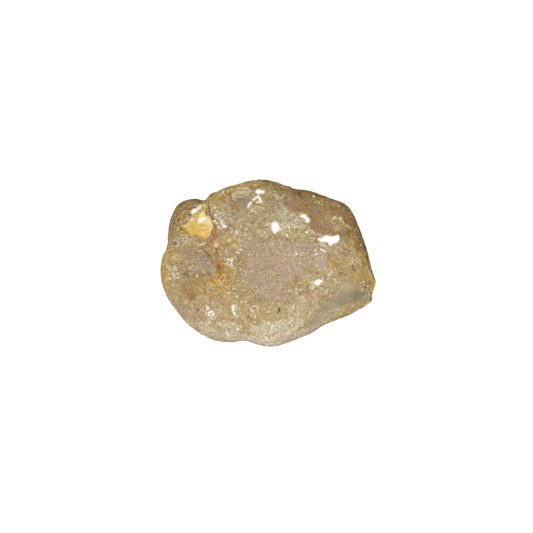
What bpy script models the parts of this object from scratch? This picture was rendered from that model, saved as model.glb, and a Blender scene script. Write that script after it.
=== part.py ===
"""A raw agate nodule: one water-worn, chipped lump of chalcedony, lying on its flat underside."""

import math

import bmesh
import bpy
import numpy as np
from mathutils import Vector, noise

MM = 0.001  # every length below is in millimetres until the mesh is written

# The stone is laid out on its broad face: x runs to the right across it, y up along it and
# w out of it. On the ground that face looks forward and up, this far above level.
FACE_RISE = math.radians(60.0)

# Thickest line around the stone, seen square on to the broad face, clockwise from the left.
RIM = [
    (-29.8, -2.3), (-29.3, 1.3), (-28.2, 5.5), (-28.1, 8.5), (-26.9, 14.0), (-24.7, 16.8),
    (-22.5, 17.8), (-19.8, 18.0), (-17.2, 17.3), (-15.7, 19.4), (-12.9, 21.0), (-9.2, 22.0),
    (-4.9, 23.2), (-2.4, 23.6), (0.4, 23.3), (4.9, 21.5), (11.4, 20.4), (14.9, 19.0),
    (21.4, 16.7), (23.7, 14.4), (25.3, 10.7), (28.1, 2.5), (30.2, -5.7), (29.0, -10.4),
    (25.0, -13.0), (16.0, -17.0), (11.9, -19.6), (4.6, -22.4), (2.1, -23.2), (-1.3, -23.1),
    (-7.1, -21.8), (-10.7, -21.9), (-14.3, -21.5), (-18.1, -19.8), (-24.7, -14.1),
    (-27.6, -10.4), (-29.2, -6.5),
]
RIM_LEAN = -0.30  # how far the rim falls back for each millimetre up the face
FRONT_THICKNESS = 15.5  # from the rim's plane out to the crown of the broad face
BACK_THICKNESS = 16.5
FRONT_SQUARENESS = 2.45  # 2 is an ellipsoid, more is a flatter face with fuller shoulders
BACK_SQUARENESS = 2.25
FOOT_CUT = 1.3  # height taken off the underside to make the face that it rests on

# Broad lumps and hollows of the broad face: centre, radii, height (a hollow is below zero).
SWELLS = {
    "knob": ((-22.0, 12.3), (7.0, 6.5), 1.5),
    "left lobe": ((-21.8, -1.8), (9.0, 9.5), 1.5),
    "lower left swell": ((-11.5, -14.5), (12.0, 8.0), 0.9),
    "left crown": ((-11.0, 14.5), (6.5, 6.0), 0.9),
    "top ridge": ((0.5, 16.8), (12.0, 6.5), 1.0),
    "right crown": ((17.5, 12.0), (8.0, 6.0), 0.8),
    "right cheek": ((24.0, -1.5), (6.5, 9.0), 0.8),
    "lower swell": ((4.5, -17.5), (10.0, 5.5), 0.9),
    "basin": ((3.5, -1.5), (16.0, 10.0), -1.9),
    "dent above the band": ((16.5, -8.5), (6.0, 3.5), -0.6),
}

# Grooves between the lumps: the line along the bottom, half width, depth.
GROOVES = {
    "cleft": (((-17.3, 18.5), (-16.4, 14.8), (-15.8, 12.8), (-15.1, 11.1), (-14.7, 8.3)), 1.1, 1.7),
    "seam": (((-14.7, 8.3), (-15.0, 6.0), (-14.1, 2.7), (-14.1, -2.0), (-14.8, -5.5),
              (-16.2, -9.5)), 2.2, 0.9),
    "waist": (((-30.0, 6.4), (-25.0, 6.6), (-22.5, 6.9), (-19.5, 5.4), (-15.0, 6.0)), 2.3, 1.1),
    "upper right scratch": (((23.5, -0.3), (25.3, -2.4)), 0.8, 0.5),
}

# Areas broken away below the old skin: the outline of each, its depth and its edge's width.
SCARS = {
    "scar": (((5.0, 24.0), (6.0, 17.5), (6.5, 14.2), (9.1, 13.7), (10.8, 13.9), (11.6, 12.5),
              (11.9, 10.0), (12.7, 8.6), (14.1, 8.0), (15.5, 7.5), (20.0, 8.0), (23.1, 7.5),
              (30.0, 8.5), (30.0, 24.0)), 1.2, 1.2),
    "yellow chip": (((-17.6, 16.7), (-17.2, 14.2), (-15.8, 12.2), (-15.3, 10.9), (-15.3, 9.5),
                     (-16.3, 7.2), (-17.8, 6.9), (-20.6, 7.8), (-22.0, 8.3), (-23.4, 10.9),
                     (-21.7, 13.1)), 1.1, 0.9),
}

# Flat breaks: the centre, the direction that the plane faces, how deep it goes below the
# surface at its centre, and how far it reaches. The old ones are on the back, and worn since.
FRESH_BREAKS = {
    "grey band": ((21.0, -10.6), (0.34, -0.48, 0.81), 0.45, 11.0),
    "lower right corner": ((27.6, -9.0), (0.72, -0.42, 0.55), 0.6, 4.0),
    "lower left flank": ((-20.0, -14.5), (-0.45, -0.40, 0.80), 0.4, 8.0),
    "top right flank": ((19.5, 11.5), (0.42, 0.52, 0.74), 0.5, 8.0),
}
OLD_BREAKS = {
    "back left": ((-17.0, 5.0), (-0.55, 0.20, -0.80), 1.6, 14.0),
    "back right": ((17.0, 1.0), (0.50, 0.10, -0.86), 1.3, 12.0),
    "back top": ((-1.0, 14.0), (-0.05, 0.62, -0.78), 1.5, 13.0),
}

OLD_BREAK_SHARE = 0.8  # of what stood above an old break, how much is gone: wear rounds the rest

# Small pits and chips of the broad face: centre, radius, depth.
PITS = [
    ((-5.6, -15.0), 1.1, 0.7), ((9.7, -8.6), 1.2, 0.6), ((-4.1, -13.2), 1.4, 0.5),
    ((-9.4, -13.6), 1.2, 0.6), ((-15.8, -14.6), 1.5, 0.6), ((2.1, 10.4), 1.3, 0.4),
    ((-2.6, 18.6), 1.4, 0.5), ((14.2, -5.4), 1.3, 0.5), ((-10.4, 0.3), 1.3, 0.5),
    ((14.0, 2.4), 1.3, 0.4), ((-12.3, 10.4), 1.2, 0.5), ((3.2, -12.9), 0.9, 0.6),
    ((20.5, 11.8), 1.6, 0.4), ((26.0, -6.6), 1.0, 0.4), ((-26.5, -2.0), 1.4, 0.4),
]

# Unevenness of the stone and of its worn skin: wavelength and height.
BROAD_WAVES = [(17.0, 1.2), (8.0, 0.6)]
SKIN_WAVES = [(4.6, 0.42), (2.5, 0.2)]

DETAIL = 7  # icosphere subdivisions that the stone is carved on
TURN_STEP = 0.08  # radians each side over which the rim's direction is read
ROUNDING_SHIFTS = np.linspace(-0.4, 0.4, 9)  # radians over which the rim's shape evens out above it
FINISHED_TRIANGLES = 9600
SMOOTH_ANGLE = math.radians(38.0)

STONE_COLOUR = (0.46, 0.34, 0.20, 1.0)
STONE_ROUGHNESS = 0.35


def clear_scene():
    for item in list(bpy.data.objects):
        bpy.data.objects.remove(item)


def smooth_step(low, high, value):
    t = np.clip((value - low) / (high - low), 0.0, 1.0)
    return t * t * (3.0 - 2.0 * t)


def rim_radius(angle):
    """Distance from the middle to the rim at each angle, by a smooth closed curve."""
    points = np.array(RIM)
    known = np.arctan2(points[:, 1], points[:, 0])
    order = np.argsort(known)
    known = known[order]
    radii = np.hypot(points[:, 0], points[:, 1])[order]
    known = np.concatenate([known[-2:] - 2 * np.pi, known, known[:2] + 2 * np.pi])
    radii = np.concatenate([radii[-2:], radii, radii[:2]])
    slope = np.gradient(radii, known)
    i = np.clip(np.searchsorted(known, angle) - 1, 0, len(known) - 2)
    gap = known[i + 1] - known[i]
    t = (angle - known[i]) / gap
    return (
        radii[i] * (1 + 2 * t) * (1 - t) ** 2
        + slope[i] * gap * t * (1 - t) ** 2
        + radii[i + 1] * t * t * (3 - 2 * t)
        + slope[i + 1] * gap * t * t * (t - 1)
    )


def nodule(directions):
    """The plain nodule: points and surface normals for unit directions from its middle."""
    across = np.hypot(directions[:, 0], directions[:, 1])
    out = directions[:, 2]
    angle = np.arctan2(directions[:, 1], directions[:, 0])
    off_rim = smooth_step(0.1, 0.8, np.abs(out))
    power = np.where(out > 0, FRONT_SQUARENESS, BACK_SQUARENESS)
    thickness = np.where(out > 0, FRONT_THICKNESS, BACK_THICKNESS)
    reach = (across**power + np.abs(out) ** power) ** (-1.0 / power)
    rounded = np.mean([rim_radius(angle + shift) for shift in ROUNDING_SHIFTS], axis=0)
    radius = rim_radius(angle) * (1.0 - off_rim) + rounded * off_rim
    turn = (rim_radius(angle + TURN_STEP) - rim_radius(angle - TURN_STEP)) / (2 * TURN_STEP * radius)
    slope = across ** (power - 1) / radius
    points = np.stack(
        [radius * across * reach * np.cos(angle), radius * across * reach * np.sin(angle),
         thickness * out * reach], axis=1)
    normals = np.stack(
        [slope * (np.cos(angle) + turn * np.sin(angle)),
         slope * (np.sin(angle) - turn * np.cos(angle)),
         np.sign(out) * np.abs(out) ** (power - 1) / thickness], axis=1)
    points[:, 2] += RIM_LEAN * points[:, 1]
    normals[:, 1] -= RIM_LEAN * normals[:, 2]
    normals /= np.linalg.norm(normals, axis=1, keepdims=True)
    return points, normals


def distance_to_line(place, line, closed=False):
    """Shortest distance in the face's plane from each place to a line of points."""
    corners = np.array(line + (line[:1] if closed else ()))
    nearest = np.full(len(place), np.inf)
    for start, end in zip(corners[:-1], corners[1:]):
        run = end - start
        t = np.clip((place - start) @ run / (run @ run), 0.0, 1.0)
        nearest = np.minimum(nearest, np.linalg.norm(place - start - t[:, None] * run, axis=1))
    return nearest


def inside(place, outline):
    """True for each place within a closed outline."""
    result = np.zeros(len(place), dtype=bool)
    for (x0, y0), (x1, y1) in zip(outline, outline[1:] + outline[:1]):
        crosses = (y0 > place[:, 1]) != (y1 > place[:, 1])
        if y1 != y0:
            result ^= crosses & (place[:, 0] < (x1 - x0) * (place[:, 1] - y0) / (y1 - y0) + x0)
    return result


def swell_height(place):
    height = np.zeros(len(place))
    for centre, radii, rise in SWELLS.values():
        q = np.linalg.norm((place - centre) / radii, axis=1)
        height += rise * (1.0 - smooth_step(0.0, 1.25, q))
    return height


def groove_depth(place):
    depth = np.zeros(len(place))
    for line, half_width, deepest in GROOVES.values():
        depth += deepest * (1.0 - smooth_step(0.0, 2.0 * half_width, distance_to_line(place, line)))
    return depth


def scar_depth(place):
    depth = np.zeros(len(place))
    for outline, deepest, edge in SCARS.values():
        reach = distance_to_line(place, outline, closed=True)
        signed = np.where(inside(place, outline), reach, -reach)
        depth += deepest * smooth_step(-0.15 * edge, 0.85 * edge, signed)
    return depth


def pit_depth(place):
    depth = np.zeros(len(place))
    for centre, radius, deepest in PITS:
        q = np.linalg.norm(place - centre, axis=1) / radius
        depth += deepest * (1.0 - smooth_step(0.2, 1.0, q))
    return depth


def wave_height(points, waves):
    height = np.zeros(len(points))
    for wavelength, rise in waves:
        height += [rise * noise.noise(Vector(point) / wavelength) for point in points]
    return height


def break_flat(points, breaks, side, share):
    """Takes off a share of what stands proud of each broken plane, on one side of the stone."""
    points = points.copy()
    for centre, facing, depth, reach in breaks.values():
        facing = np.array(facing) / np.linalg.norm(facing)
        away = np.linalg.norm(points[:, :2] - centre, axis=1)
        heart = points[np.argmin(np.where(side, away, np.inf))] - depth * facing
        proud = np.maximum((points - heart) @ facing, 0.0)
        taken = share * side * (1.0 - smooth_step(0.7 * reach, reach, away)) * proud
        points -= taken[:, None] * facing
    return points


def carve(directions):
    """The whole form, in millimetres on the broad face's axes."""
    points, normals = nodule(directions)
    out = directions[:, 2]
    off_rim = 0.1 + 0.9 * smooth_step(0.05, 0.5, np.abs(out))
    front = smooth_step(0.0, 0.30, out)
    place = points[:, :2]
    height = front * swell_height(place) + off_rim * wave_height(points, BROAD_WAVES)
    points += height[:, None] * normals
    points = break_flat(points, OLD_BREAKS, out < 0.1, OLD_BREAK_SHARE)
    height = off_rim * wave_height(points, SKIN_WAVES)
    height -= front * (scar_depth(place) + pit_depth(place))
    height -= smooth_step(-0.05, 0.35, out) * groove_depth(place)
    points += height[:, None] * normals
    return break_flat(points, FRESH_BREAKS, out > 0.1, 1.0)


def face_to_ground(points):
    """Turns the broad face's axes to the ground's: x right, y to the rear, z up."""
    rise, run = math.sin(FACE_RISE), math.cos(FACE_RISE)
    x, y, w = points.T
    return np.stack([x, y * rise - w * run, y * run + w * rise], axis=1)


def carved_mesh():
    mesh = bpy.data.meshes.new("agate carving")
    bm = bmesh.new()
    bmesh.ops.create_icosphere(bm, subdivisions=DETAIL, radius=1.0)
    bm.to_mesh(mesh)
    bm.free()
    directions = np.empty(len(mesh.vertices) * 3)
    mesh.vertices.foreach_get("co", directions)
    directions = directions.reshape(-1, 3)
    directions /= np.linalg.norm(directions, axis=1, keepdims=True)
    points = face_to_ground(carve(directions)) * MM
    mesh.vertices.foreach_set("co", points.ravel())
    return mesh


def thinned(mesh):
    """The same form with about FINISHED_TRIANGLES triangles, most of them on its details."""
    carving = bpy.data.objects.new("agate carving", mesh)
    bpy.context.collection.objects.link(carving)
    thin = carving.modifiers.new("thin", "DECIMATE")
    thin.ratio = FINISHED_TRIANGLES / len(mesh.polygons)
    depsgraph = bpy.context.evaluated_depsgraph_get()
    result = bpy.data.meshes.new_from_object(carving.evaluated_get(depsgraph))
    bpy.data.objects.remove(carving)
    return result


def stood_on_foot(mesh):
    """Cuts the foot flat and puts the bottom middle of the stone's box on the origin."""
    bm = bmesh.new()
    bm.from_mesh(mesh)
    lowest = min(vertex.co.z for vertex in bm.verts)
    floor = Vector((0.0, 0.0, lowest + FOOT_CUT * MM))
    everything = bm.verts[:] + bm.edges[:] + bm.faces[:]
    cut = bmesh.ops.bisect_plane(
        bm, geom=everything, plane_co=floor, plane_no=(0.0, 0.0, -1.0), clear_outer=True)
    rim = [item for item in cut["geom_cut"] if isinstance(item, bmesh.types.BMEdge)]
    bmesh.ops.contextual_create(bm, geom=rim)
    bmesh.ops.recalc_face_normals(bm, faces=bm.faces[:])
    xs = [vertex.co.x for vertex in bm.verts]
    ys = [vertex.co.y for vertex in bm.verts]
    middle = Vector(((min(xs) + max(xs)) / 2, (min(ys) + max(ys)) / 2, floor.z))
    bmesh.ops.translate(bm, verts=bm.verts[:], vec=-middle)
    for vertex in bm.verts:
        if vertex.co.z < 1e-6:
            vertex.co.z = 0.0
    bm.to_mesh(mesh)
    bm.free()
    return mesh


def stone_material():
    material = bpy.data.materials.new("agate")
    material.use_nodes = True
    shader = material.node_tree.nodes["Principled BSDF"]
    shader.inputs["Base Color"].default_value = STONE_COLOUR
    shader.inputs["Roughness"].default_value = STONE_ROUGHNESS
    shader.inputs["Metallic"].default_value = 0.0
    return material


def add_agate():
    mesh = stood_on_foot(thinned(carved_mesh()))
    mesh.name = "agate"
    mesh.materials.append(stone_material())
    mesh.shade_smooth()
    mesh.set_sharp_from_angle(angle=SMOOTH_ANGLE)
    agate = bpy.data.objects.new("agate", mesh)
    bpy.context.collection.objects.link(agate)
    return agate


clear_scene()
add_agate()
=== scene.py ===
# Raw agate: the looks of one waxy, water-worn stone lying on a pale floor.
import math

import bpy
import numpy as np
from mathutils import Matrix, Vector, noise


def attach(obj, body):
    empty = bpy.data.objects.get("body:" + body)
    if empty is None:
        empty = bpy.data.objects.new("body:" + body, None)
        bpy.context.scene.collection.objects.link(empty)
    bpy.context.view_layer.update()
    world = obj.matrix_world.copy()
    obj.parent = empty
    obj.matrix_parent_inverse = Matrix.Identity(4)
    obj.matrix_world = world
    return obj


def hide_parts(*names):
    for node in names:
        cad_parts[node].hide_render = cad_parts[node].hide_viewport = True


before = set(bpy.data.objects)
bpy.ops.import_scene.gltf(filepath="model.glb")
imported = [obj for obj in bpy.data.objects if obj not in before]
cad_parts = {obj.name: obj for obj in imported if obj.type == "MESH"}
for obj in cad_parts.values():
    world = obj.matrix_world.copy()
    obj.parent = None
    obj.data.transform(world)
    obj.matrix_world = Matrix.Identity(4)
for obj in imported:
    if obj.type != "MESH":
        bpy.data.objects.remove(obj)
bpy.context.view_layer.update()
mm = 0.001

# The stone is laid out in millimetres on its broad face: x to the right, y up along the
# face and w out of it. The face looks forward and up.
face = {
    "rise": math.radians(60.0),  # how far up it looks
    "middle": (-0.13, 0.41, 15.12),  # where its middle is, from the floor's own middle
}

view = {
    "target": (-0.43, -0.43, 14.75),
    "distance": 621.8,
    "lens": 150.0,
    "sensor": 36.0,
    "clip": (0.01, 20.0),
    "middleSeen": (-0.28, -1.05),  # where the middle of the view falls on the face
    "keyAside": (-62.0, -38.0, -20.0),  # from the camera to the key light beside it
}


def faceToWorld(points):
    rise, run = math.sin(face["rise"]), math.cos(face["rise"])
    x, y, w = points.T
    return np.stack([x, y * rise - w * run, y * run + w * rise], axis=1) + face["middle"]


def worldToFace(point):
    rise, run = math.sin(face["rise"]), math.cos(face["rise"])
    x, y, z = np.array(point) - face["middle"]
    return np.array([x, y * rise + z * run, z * rise - y * run])


eye = worldToFace(view["target"]) + np.array([0.0, 0.0, view["distance"]])
keyPlace = eye + view["keyAside"]


def seenPlace(points):
    # where each point shows on the face's own plane from the camera
    scale = view["distance"] / (eye[2] - points[:, 2])
    return (points[:, :2] - eye[:2]) * scale[:, None] + view["middleSeen"]


def glintFacing(place, paintedLight):
    # the way a flat chip has to face to throw the key light at the camera
    point = np.array([place[0], place[1], paintedLight])
    toEye = (eye - point) / np.linalg.norm(eye - point)
    toKey = (keyPlace - point) / np.linalg.norm(keyPlace - point)
    facing = toEye + toKey
    return facing / np.linalg.norm(facing)


def smoothStep(low, high, value):
    t = np.clip((value - low) / (high - low), 0.0, 1.0)
    return t * t * (3.0 - 2.0 * t)


def lineDistance(place, line):
    nearest = np.full(len(place), np.inf)
    for start, end in zip(np.array(line[:-1]), np.array(line[1:])):
        run = end - start
        t = np.clip((place - start) @ run / (run @ run), 0.0, 1.0)
        nearest = np.minimum(nearest, np.linalg.norm(place - start - t[:, None] * run, axis=1))
    return nearest


def insideDistance(place, outline):
    # distance in from the outline's edge, below zero outside it
    crossed = np.zeros(len(place), dtype=bool)
    for (x0, y0), (x1, y1) in zip(outline, outline[1:] + outline[:1]):
        if y0 != y1:
            edge = (x1 - x0) * (place[:, 1] - y0) / (y1 - y0) + x0
            crossed ^= ((y0 > place[:, 1]) != (y1 > place[:, 1])) & (place[:, 0] < edge)
    reach = lineDistance(place, outline + outline[:1])
    return np.where(crossed, reach, -reach)


def markDepth(place, mark):
    # distance inside a mark, which is an outline, a line with a half width, or an oval
    if "outline" in mark:
        return insideDistance(place, mark["outline"])
    if "line" in mark:
        return mark["half"] - lineDistance(place, mark["line"])
    turn = math.radians(mark.get("turn", 0.0))
    dx, dy = (place - mark["oval"][:2]).T
    across = (dx * math.cos(turn) + dy * math.sin(turn)) / mark["oval"][2]
    along = (dy * math.cos(turn) - dx * math.sin(turn)) / mark["oval"][3]
    return (1.0 - np.hypot(across, along)) * min(mark["oval"][2:])


def markMask(place, mark):
    # 1 on the mark and 0 off it
    edge = 0.5 * mark["soft"]
    return smoothStep(-edge, edge, markDepth(place, mark))


def areaMark(outline, soft, colour, **finish):
    return {"outline": outline, "soft": soft, "colour": colour, **finish}


def lineMark(line, half, soft, colour, **finish):
    return {"line": line, "half": half, "soft": soft, "colour": colour, **finish}


def ovalMark(x, y, across, up, soft, colour, **finish):
    return {"oval": (x, y, across, up), "soft": soft, "colour": colour, **finish}


# How far along the noise each pattern is taken, and which way, so that none repeats another.
waveShifts = {"waverAcross": 3.1, "waverUp": 7.7, "crinkle": 5.0, "backPatch": 2.3}
waveDrift = (1.0, 0.37, -0.71)


def waves(points, wavelength, shift=0.0):
    move = Vector([shift * part for part in waveDrift])
    return np.array([noise.noise(Vector(point) / wavelength + move) for point in points])


stone = {
    "cuts": 78,  # cuts along each edge of the cube that the stone starts as
    "rim": [
        (-29.7, -2.3), (-29.0, 1.3), (-28.1, 5.5), (-28.0, 8.5), (-27.4, 11.4), (-26.6, 13.9),
        (-24.7, 16.8), (-22.5, 17.8), (-19.9, 18.1), (-18.4, 17.8), (-17.7, 17.8),
        (-17.2, 18.4), (-16.3, 19.4), (-14.3, 20.3), (-12.0, 21.3), (-9.2, 22.1), (-4.9, 23.2),
        (-2.4, 23.5), (0.4, 22.9), (2.0, 22.4), (4.8, 21.2), (8.0, 20.7), (11.5, 20.5),
        (15.2, 19.3), (18.5, 18.1), (21.7, 16.9), (23.8, 14.5), (25.5, 10.8), (28.1, 2.5),
        (29.0, -1.4), (30.1, -5.7), (29.3, -8.4), (29.0, -10.4), (25.2, -13.1), (16.0, -17.0),
        (11.8, -19.4), (8.2, -20.9), (4.6, -22.3), (2.1, -23.1), (-1.3, -22.9), (-7.0, -21.5),
        (-10.6, -21.8), (-14.1, -21.2), (-17.9, -19.6), (-21.6, -17.0), (-24.5, -14.0),
        (-27.4, -10.3), (-29.1, -6.5),
    ],
    "rimLean": -0.30,
    "frontThickness": 15.5,
    "backThickness": 16.5,
    "frontSquareness": 2.45,
    "backSquareness": 2.25,
    "turnStep": 0.08,  # radians along the rim over which its slope is taken
    "roundingShifts": np.linspace(-0.4, 0.4, 9),  # radians over which it is rounded off
    "broadWaves": [(17.0, 1.2), (8.0, 0.6)],  # wavelength and height
    "skinWaves": [(4.6, 0.26), (2.5, 0.12)],
    "waveLeast": 0.1,  # share of the waves' height on the rim itself
    "swellEnd": 1.25,  # where a swell ends, in its own radii
    "scarEdge": (-0.15, 0.85),  # where a scar's edge starts and is full, in its widths
    "pitFloor": 0.2,  # share of a pit's radius that is flat
    "grooveEnd": 2.0,  # where a groove ends, in its half widths
    "breakFloor": 0.7,  # share of a break's reach that is flat
    "oldBreakShare": 0.8,
    # Where each of these starts and is full, from 0 on the rim to 1 in the face's middle.
    "roundingFade": (0.1, 0.8),
    "waveFade": (0.05, 0.5),
    "frontFade": (0.0, 0.30),
    "scarFade": (0.05, 0.65),
    "grooveFade": (-0.05, 0.35),
    "markFade": (-0.05, 0.12),
    "breakFrom": 0.1,  # the old breaks lie behind this and the fresh ones before it
    "fineFrom": -0.12,  # the stone is divided twice as finely in front of this
    "drawIn": 0.25,  # how much the points are drawn in towards the middle of the face
}

# centre, radii, height
swells = {
    "knob": ((-22.0, 12.3), (7.0, 6.5), 1.5),
    "leftLobe": ((-21.8, -1.8), (9.0, 9.5), 1.5),
    "lowerLeftSwell": ((-11.5, -14.5), (12.0, 8.0), 0.9),
    "leftCrown": ((-11.0, 14.5), (6.5, 6.0), 0.9),
    "topRidge": ((0.5, 16.8), (12.0, 6.5), 1.0),
    "rightCrown": ((17.5, 12.0), (8.0, 6.0), 0.8),
    "rightCheek": ((24.0, -1.5), (6.5, 9.0), 0.8),
    "lowerSwell": ((4.5, -17.5), (10.0, 5.5), 0.9),
    "basin": ((3.5, -1.5), (16.0, 10.0), -1.9),
    "bandDent": ((16.5, -8.5), (6.0, 3.5), -0.6),
}

# line along the bottom, half width, depth
grooves = {
    "cleft": ([(-17.3, 18.5), (-16.4, 14.8), (-15.8, 12.8), (-15.1, 11.1), (-14.7, 8.3)],
              0.5, 0.65),
    "seam": ([(-14.7, 8.3), (-15.0, 6.0), (-14.1, 2.7), (-14.1, -2.0), (-14.8, -5.5),
              (-16.2, -9.5)], 2.2, 0.9),
    "waist": ([(-30.0, 6.4), (-25.0, 6.6), (-22.5, 6.9), (-19.5, 5.4), (-15.0, 6.0)], 2.3, 1.1),
    "scratch": ([(23.8, -0.9), (24.6, -2.3)], 0.4, 0.3),
}

# outline, depth, width of the edge
scars = {
    "scar": ([(5.0, 24.0), (6.0, 17.5), (6.5, 14.2), (9.1, 13.7), (10.8, 13.9), (11.6, 12.5),
              (11.9, 10.0), (12.7, 8.6), (14.1, 8.0), (15.5, 7.5), (20.0, 8.0), (23.1, 7.5),
              (30.0, 8.5), (30.0, 24.0)], 0.8, 2.4),
    "yellowChip": ([(-18.3, 14.3), (-17.2, 14.0), (-16.6, 12.7), (-15.4, 11.0), (-15.5, 9.2),
                    (-16.2, 7.9), (-16.9, 6.9), (-18.6, 7.0), (-20.0, 7.8), (-21.3, 7.3),
                    (-22.0, 8.4), (-22.7, 9.7), (-22.3, 10.8), (-21.2, 13.1), (-19.8, 13.9)],
                   0.8, 0.6),
}

# centre, facing, depth at the centre, reach
freshBreaks = {
    "greyBand": ((21.0, -10.6), (0.34, -0.48, 0.81), 0.45, 11.0),
    "lowerRightCorner": ((27.6, -9.0), (0.72, -0.42, 0.55), 0.6, 4.0),
    "lowerLeftFlank": ((-20.0, -14.5), (-0.45, -0.40, 0.80), 0.4, 8.0),
    "topRightFlank": ((19.5, 11.5), (0.42, 0.52, 0.74), 0.5, 8.0),
}
oldBreaks = {
    "backLeft": ((-17.0, 5.0), (-0.55, 0.20, -0.80), 1.6, 14.0),
    "backRight": ((17.0, 1.0), (0.50, 0.10, -0.86), 1.3, 12.0),
    "backTop": ((-1.0, 14.0), (-0.05, 0.62, -0.78), 1.5, 13.0),
}

# centre, radius, depth
pits = [
    ((-5.5, -15.2), 0.6, 0.3), ((9.8, -8.5), 0.8, 0.3), ((-4.1, -13.2), 1.2, 0.25),
    ((-9.4, -13.6), 1.0, 0.3), ((-15.8, -14.6), 1.3, 0.3), ((-10.5, 0.2), 1.2, 0.25),
    ((14.0, 2.4), 1.2, 0.2), ((3.3, -12.9), 0.5, 0.3), ((20.5, 11.8), 1.6, 0.3),
    ((26.8, -6.6), 0.9, 0.2), ((-26.5, -2.0), 1.4, 0.25),
]


def rimRadius(angle):
    # distance from the middle to the rim at each angle, by a smooth closed curve
    points = np.array(stone["rim"])
    known = np.arctan2(points[:, 1], points[:, 0])
    order = np.argsort(known)
    known = known[order]
    radii = np.hypot(points[:, 0], points[:, 1])[order]
    known = np.concatenate([known[-2:] - 2 * np.pi, known, known[:2] + 2 * np.pi])
    radii = np.concatenate([radii[-2:], radii, radii[:2]])
    slope = np.gradient(radii, known)
    i = np.clip(np.searchsorted(known, angle) - 1, 0, len(known) - 2)
    gap = known[i + 1] - known[i]
    t = (angle - known[i]) / gap
    return (
        radii[i] * (1 + 2 * t) * (1 - t) ** 2
        + slope[i] * gap * t * (1 - t) ** 2
        + radii[i + 1] * t * t * (3 - 2 * t)
        + slope[i + 1] * gap * t * t * (t - 1)
    )


def plainNodule(directions):
    # points and surface normals of the plain nodule, for unit directions from its middle
    across = np.hypot(directions[:, 0], directions[:, 1])
    out = directions[:, 2]
    angle = np.arctan2(directions[:, 1], directions[:, 0])
    offRim = smoothStep(*stone["roundingFade"], np.abs(out))
    power = np.where(out > 0, stone["frontSquareness"], stone["backSquareness"])
    thickness = np.where(out > 0, stone["frontThickness"], stone["backThickness"])
    reach = (across**power + np.abs(out) ** power) ** (-1.0 / power)
    rounded = np.mean([rimRadius(angle + shift) for shift in stone["roundingShifts"]], axis=0)
    radius = rimRadius(angle) * (1.0 - offRim) + rounded * offRim
    step = stone["turnStep"]
    turn = (rimRadius(angle + step) - rimRadius(angle - step)) / (2 * step * radius)
    slope = across ** (power - 1) / radius
    points = np.stack(
        [radius * across * reach * np.cos(angle), radius * across * reach * np.sin(angle),
         thickness * out * reach], axis=1)
    normals = np.stack(
        [slope * (np.cos(angle) + turn * np.sin(angle)),
         slope * (np.sin(angle) - turn * np.cos(angle)),
         np.sign(out) * np.abs(out) ** (power - 1) / thickness], axis=1)
    points[:, 2] += stone["rimLean"] * points[:, 1]
    normals[:, 1] -= stone["rimLean"] * normals[:, 2]
    normals /= np.linalg.norm(normals, axis=1, keepdims=True)
    return points, normals


def breakFlat(points, breaks, side, share):
    # takes off what stands proud of each break's flat
    points = points.copy()
    for centre, facing, depth, reach in breaks.values():
        facing = np.array(facing) / np.linalg.norm(facing)
        away = np.linalg.norm(points[:, :2] - centre, axis=1)
        heart = points[np.argmin(np.where(side, away, np.inf))] - depth * facing
        proud = np.maximum((points - heart) @ facing, 0.0)
        hold = 1.0 - smoothStep(stone["breakFloor"] * reach, reach, away)
        taken = share * side * hold * proud
        points -= taken[:, None] * facing
    return points


def broadForm(directions):
    # the same form as the solid's: lumps, grooves, scars and breaks
    points, normals = plainNodule(directions)
    out = directions[:, 2]
    least = stone["waveLeast"]
    offRim = least + (1.0 - least) * smoothStep(*stone["waveFade"], np.abs(out))
    front = smoothStep(*stone["frontFade"], out)
    place = points[:, :2].copy()
    height = offRim * sum(rise * waves(points, length) for length, rise in stone["broadWaves"])
    for centre, radii, rise in swells.values():
        q = np.linalg.norm((place - centre) / radii, axis=1)
        height += front * rise * (1.0 - smoothStep(0.0, stone["swellEnd"], q))
    points += height[:, None] * normals
    points = breakFlat(points, oldBreaks, out < stone["breakFrom"], stone["oldBreakShare"])
    height = offRim * sum(rise * waves(points, length) for length, rise in stone["skinWaves"])
    for outline, deepest, edge in scars.values():
        low, high = (share * edge for share in stone["scarEdge"])
        cut = smoothStep(low, high, insideDistance(place, outline))
        height -= smoothStep(*stone["scarFade"], out) * deepest * cut
    for centre, radius, deepest in pits:
        q = np.linalg.norm(place - centre, axis=1) / radius
        height -= front * deepest * (1.0 - smoothStep(stone["pitFloor"], 1.0, q))
    for line, halfWidth, deepest in grooves.values():
        cut = 1.0 - smoothStep(0.0, stone["grooveEnd"] * halfWidth, lineDistance(place, line))
        height -= smoothStep(*stone["grooveFade"], out) * deepest * cut
    points += height[:, None] * normals
    return breakFlat(points, freshBreaks, out > stone["breakFrom"], 1.0), normals


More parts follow.
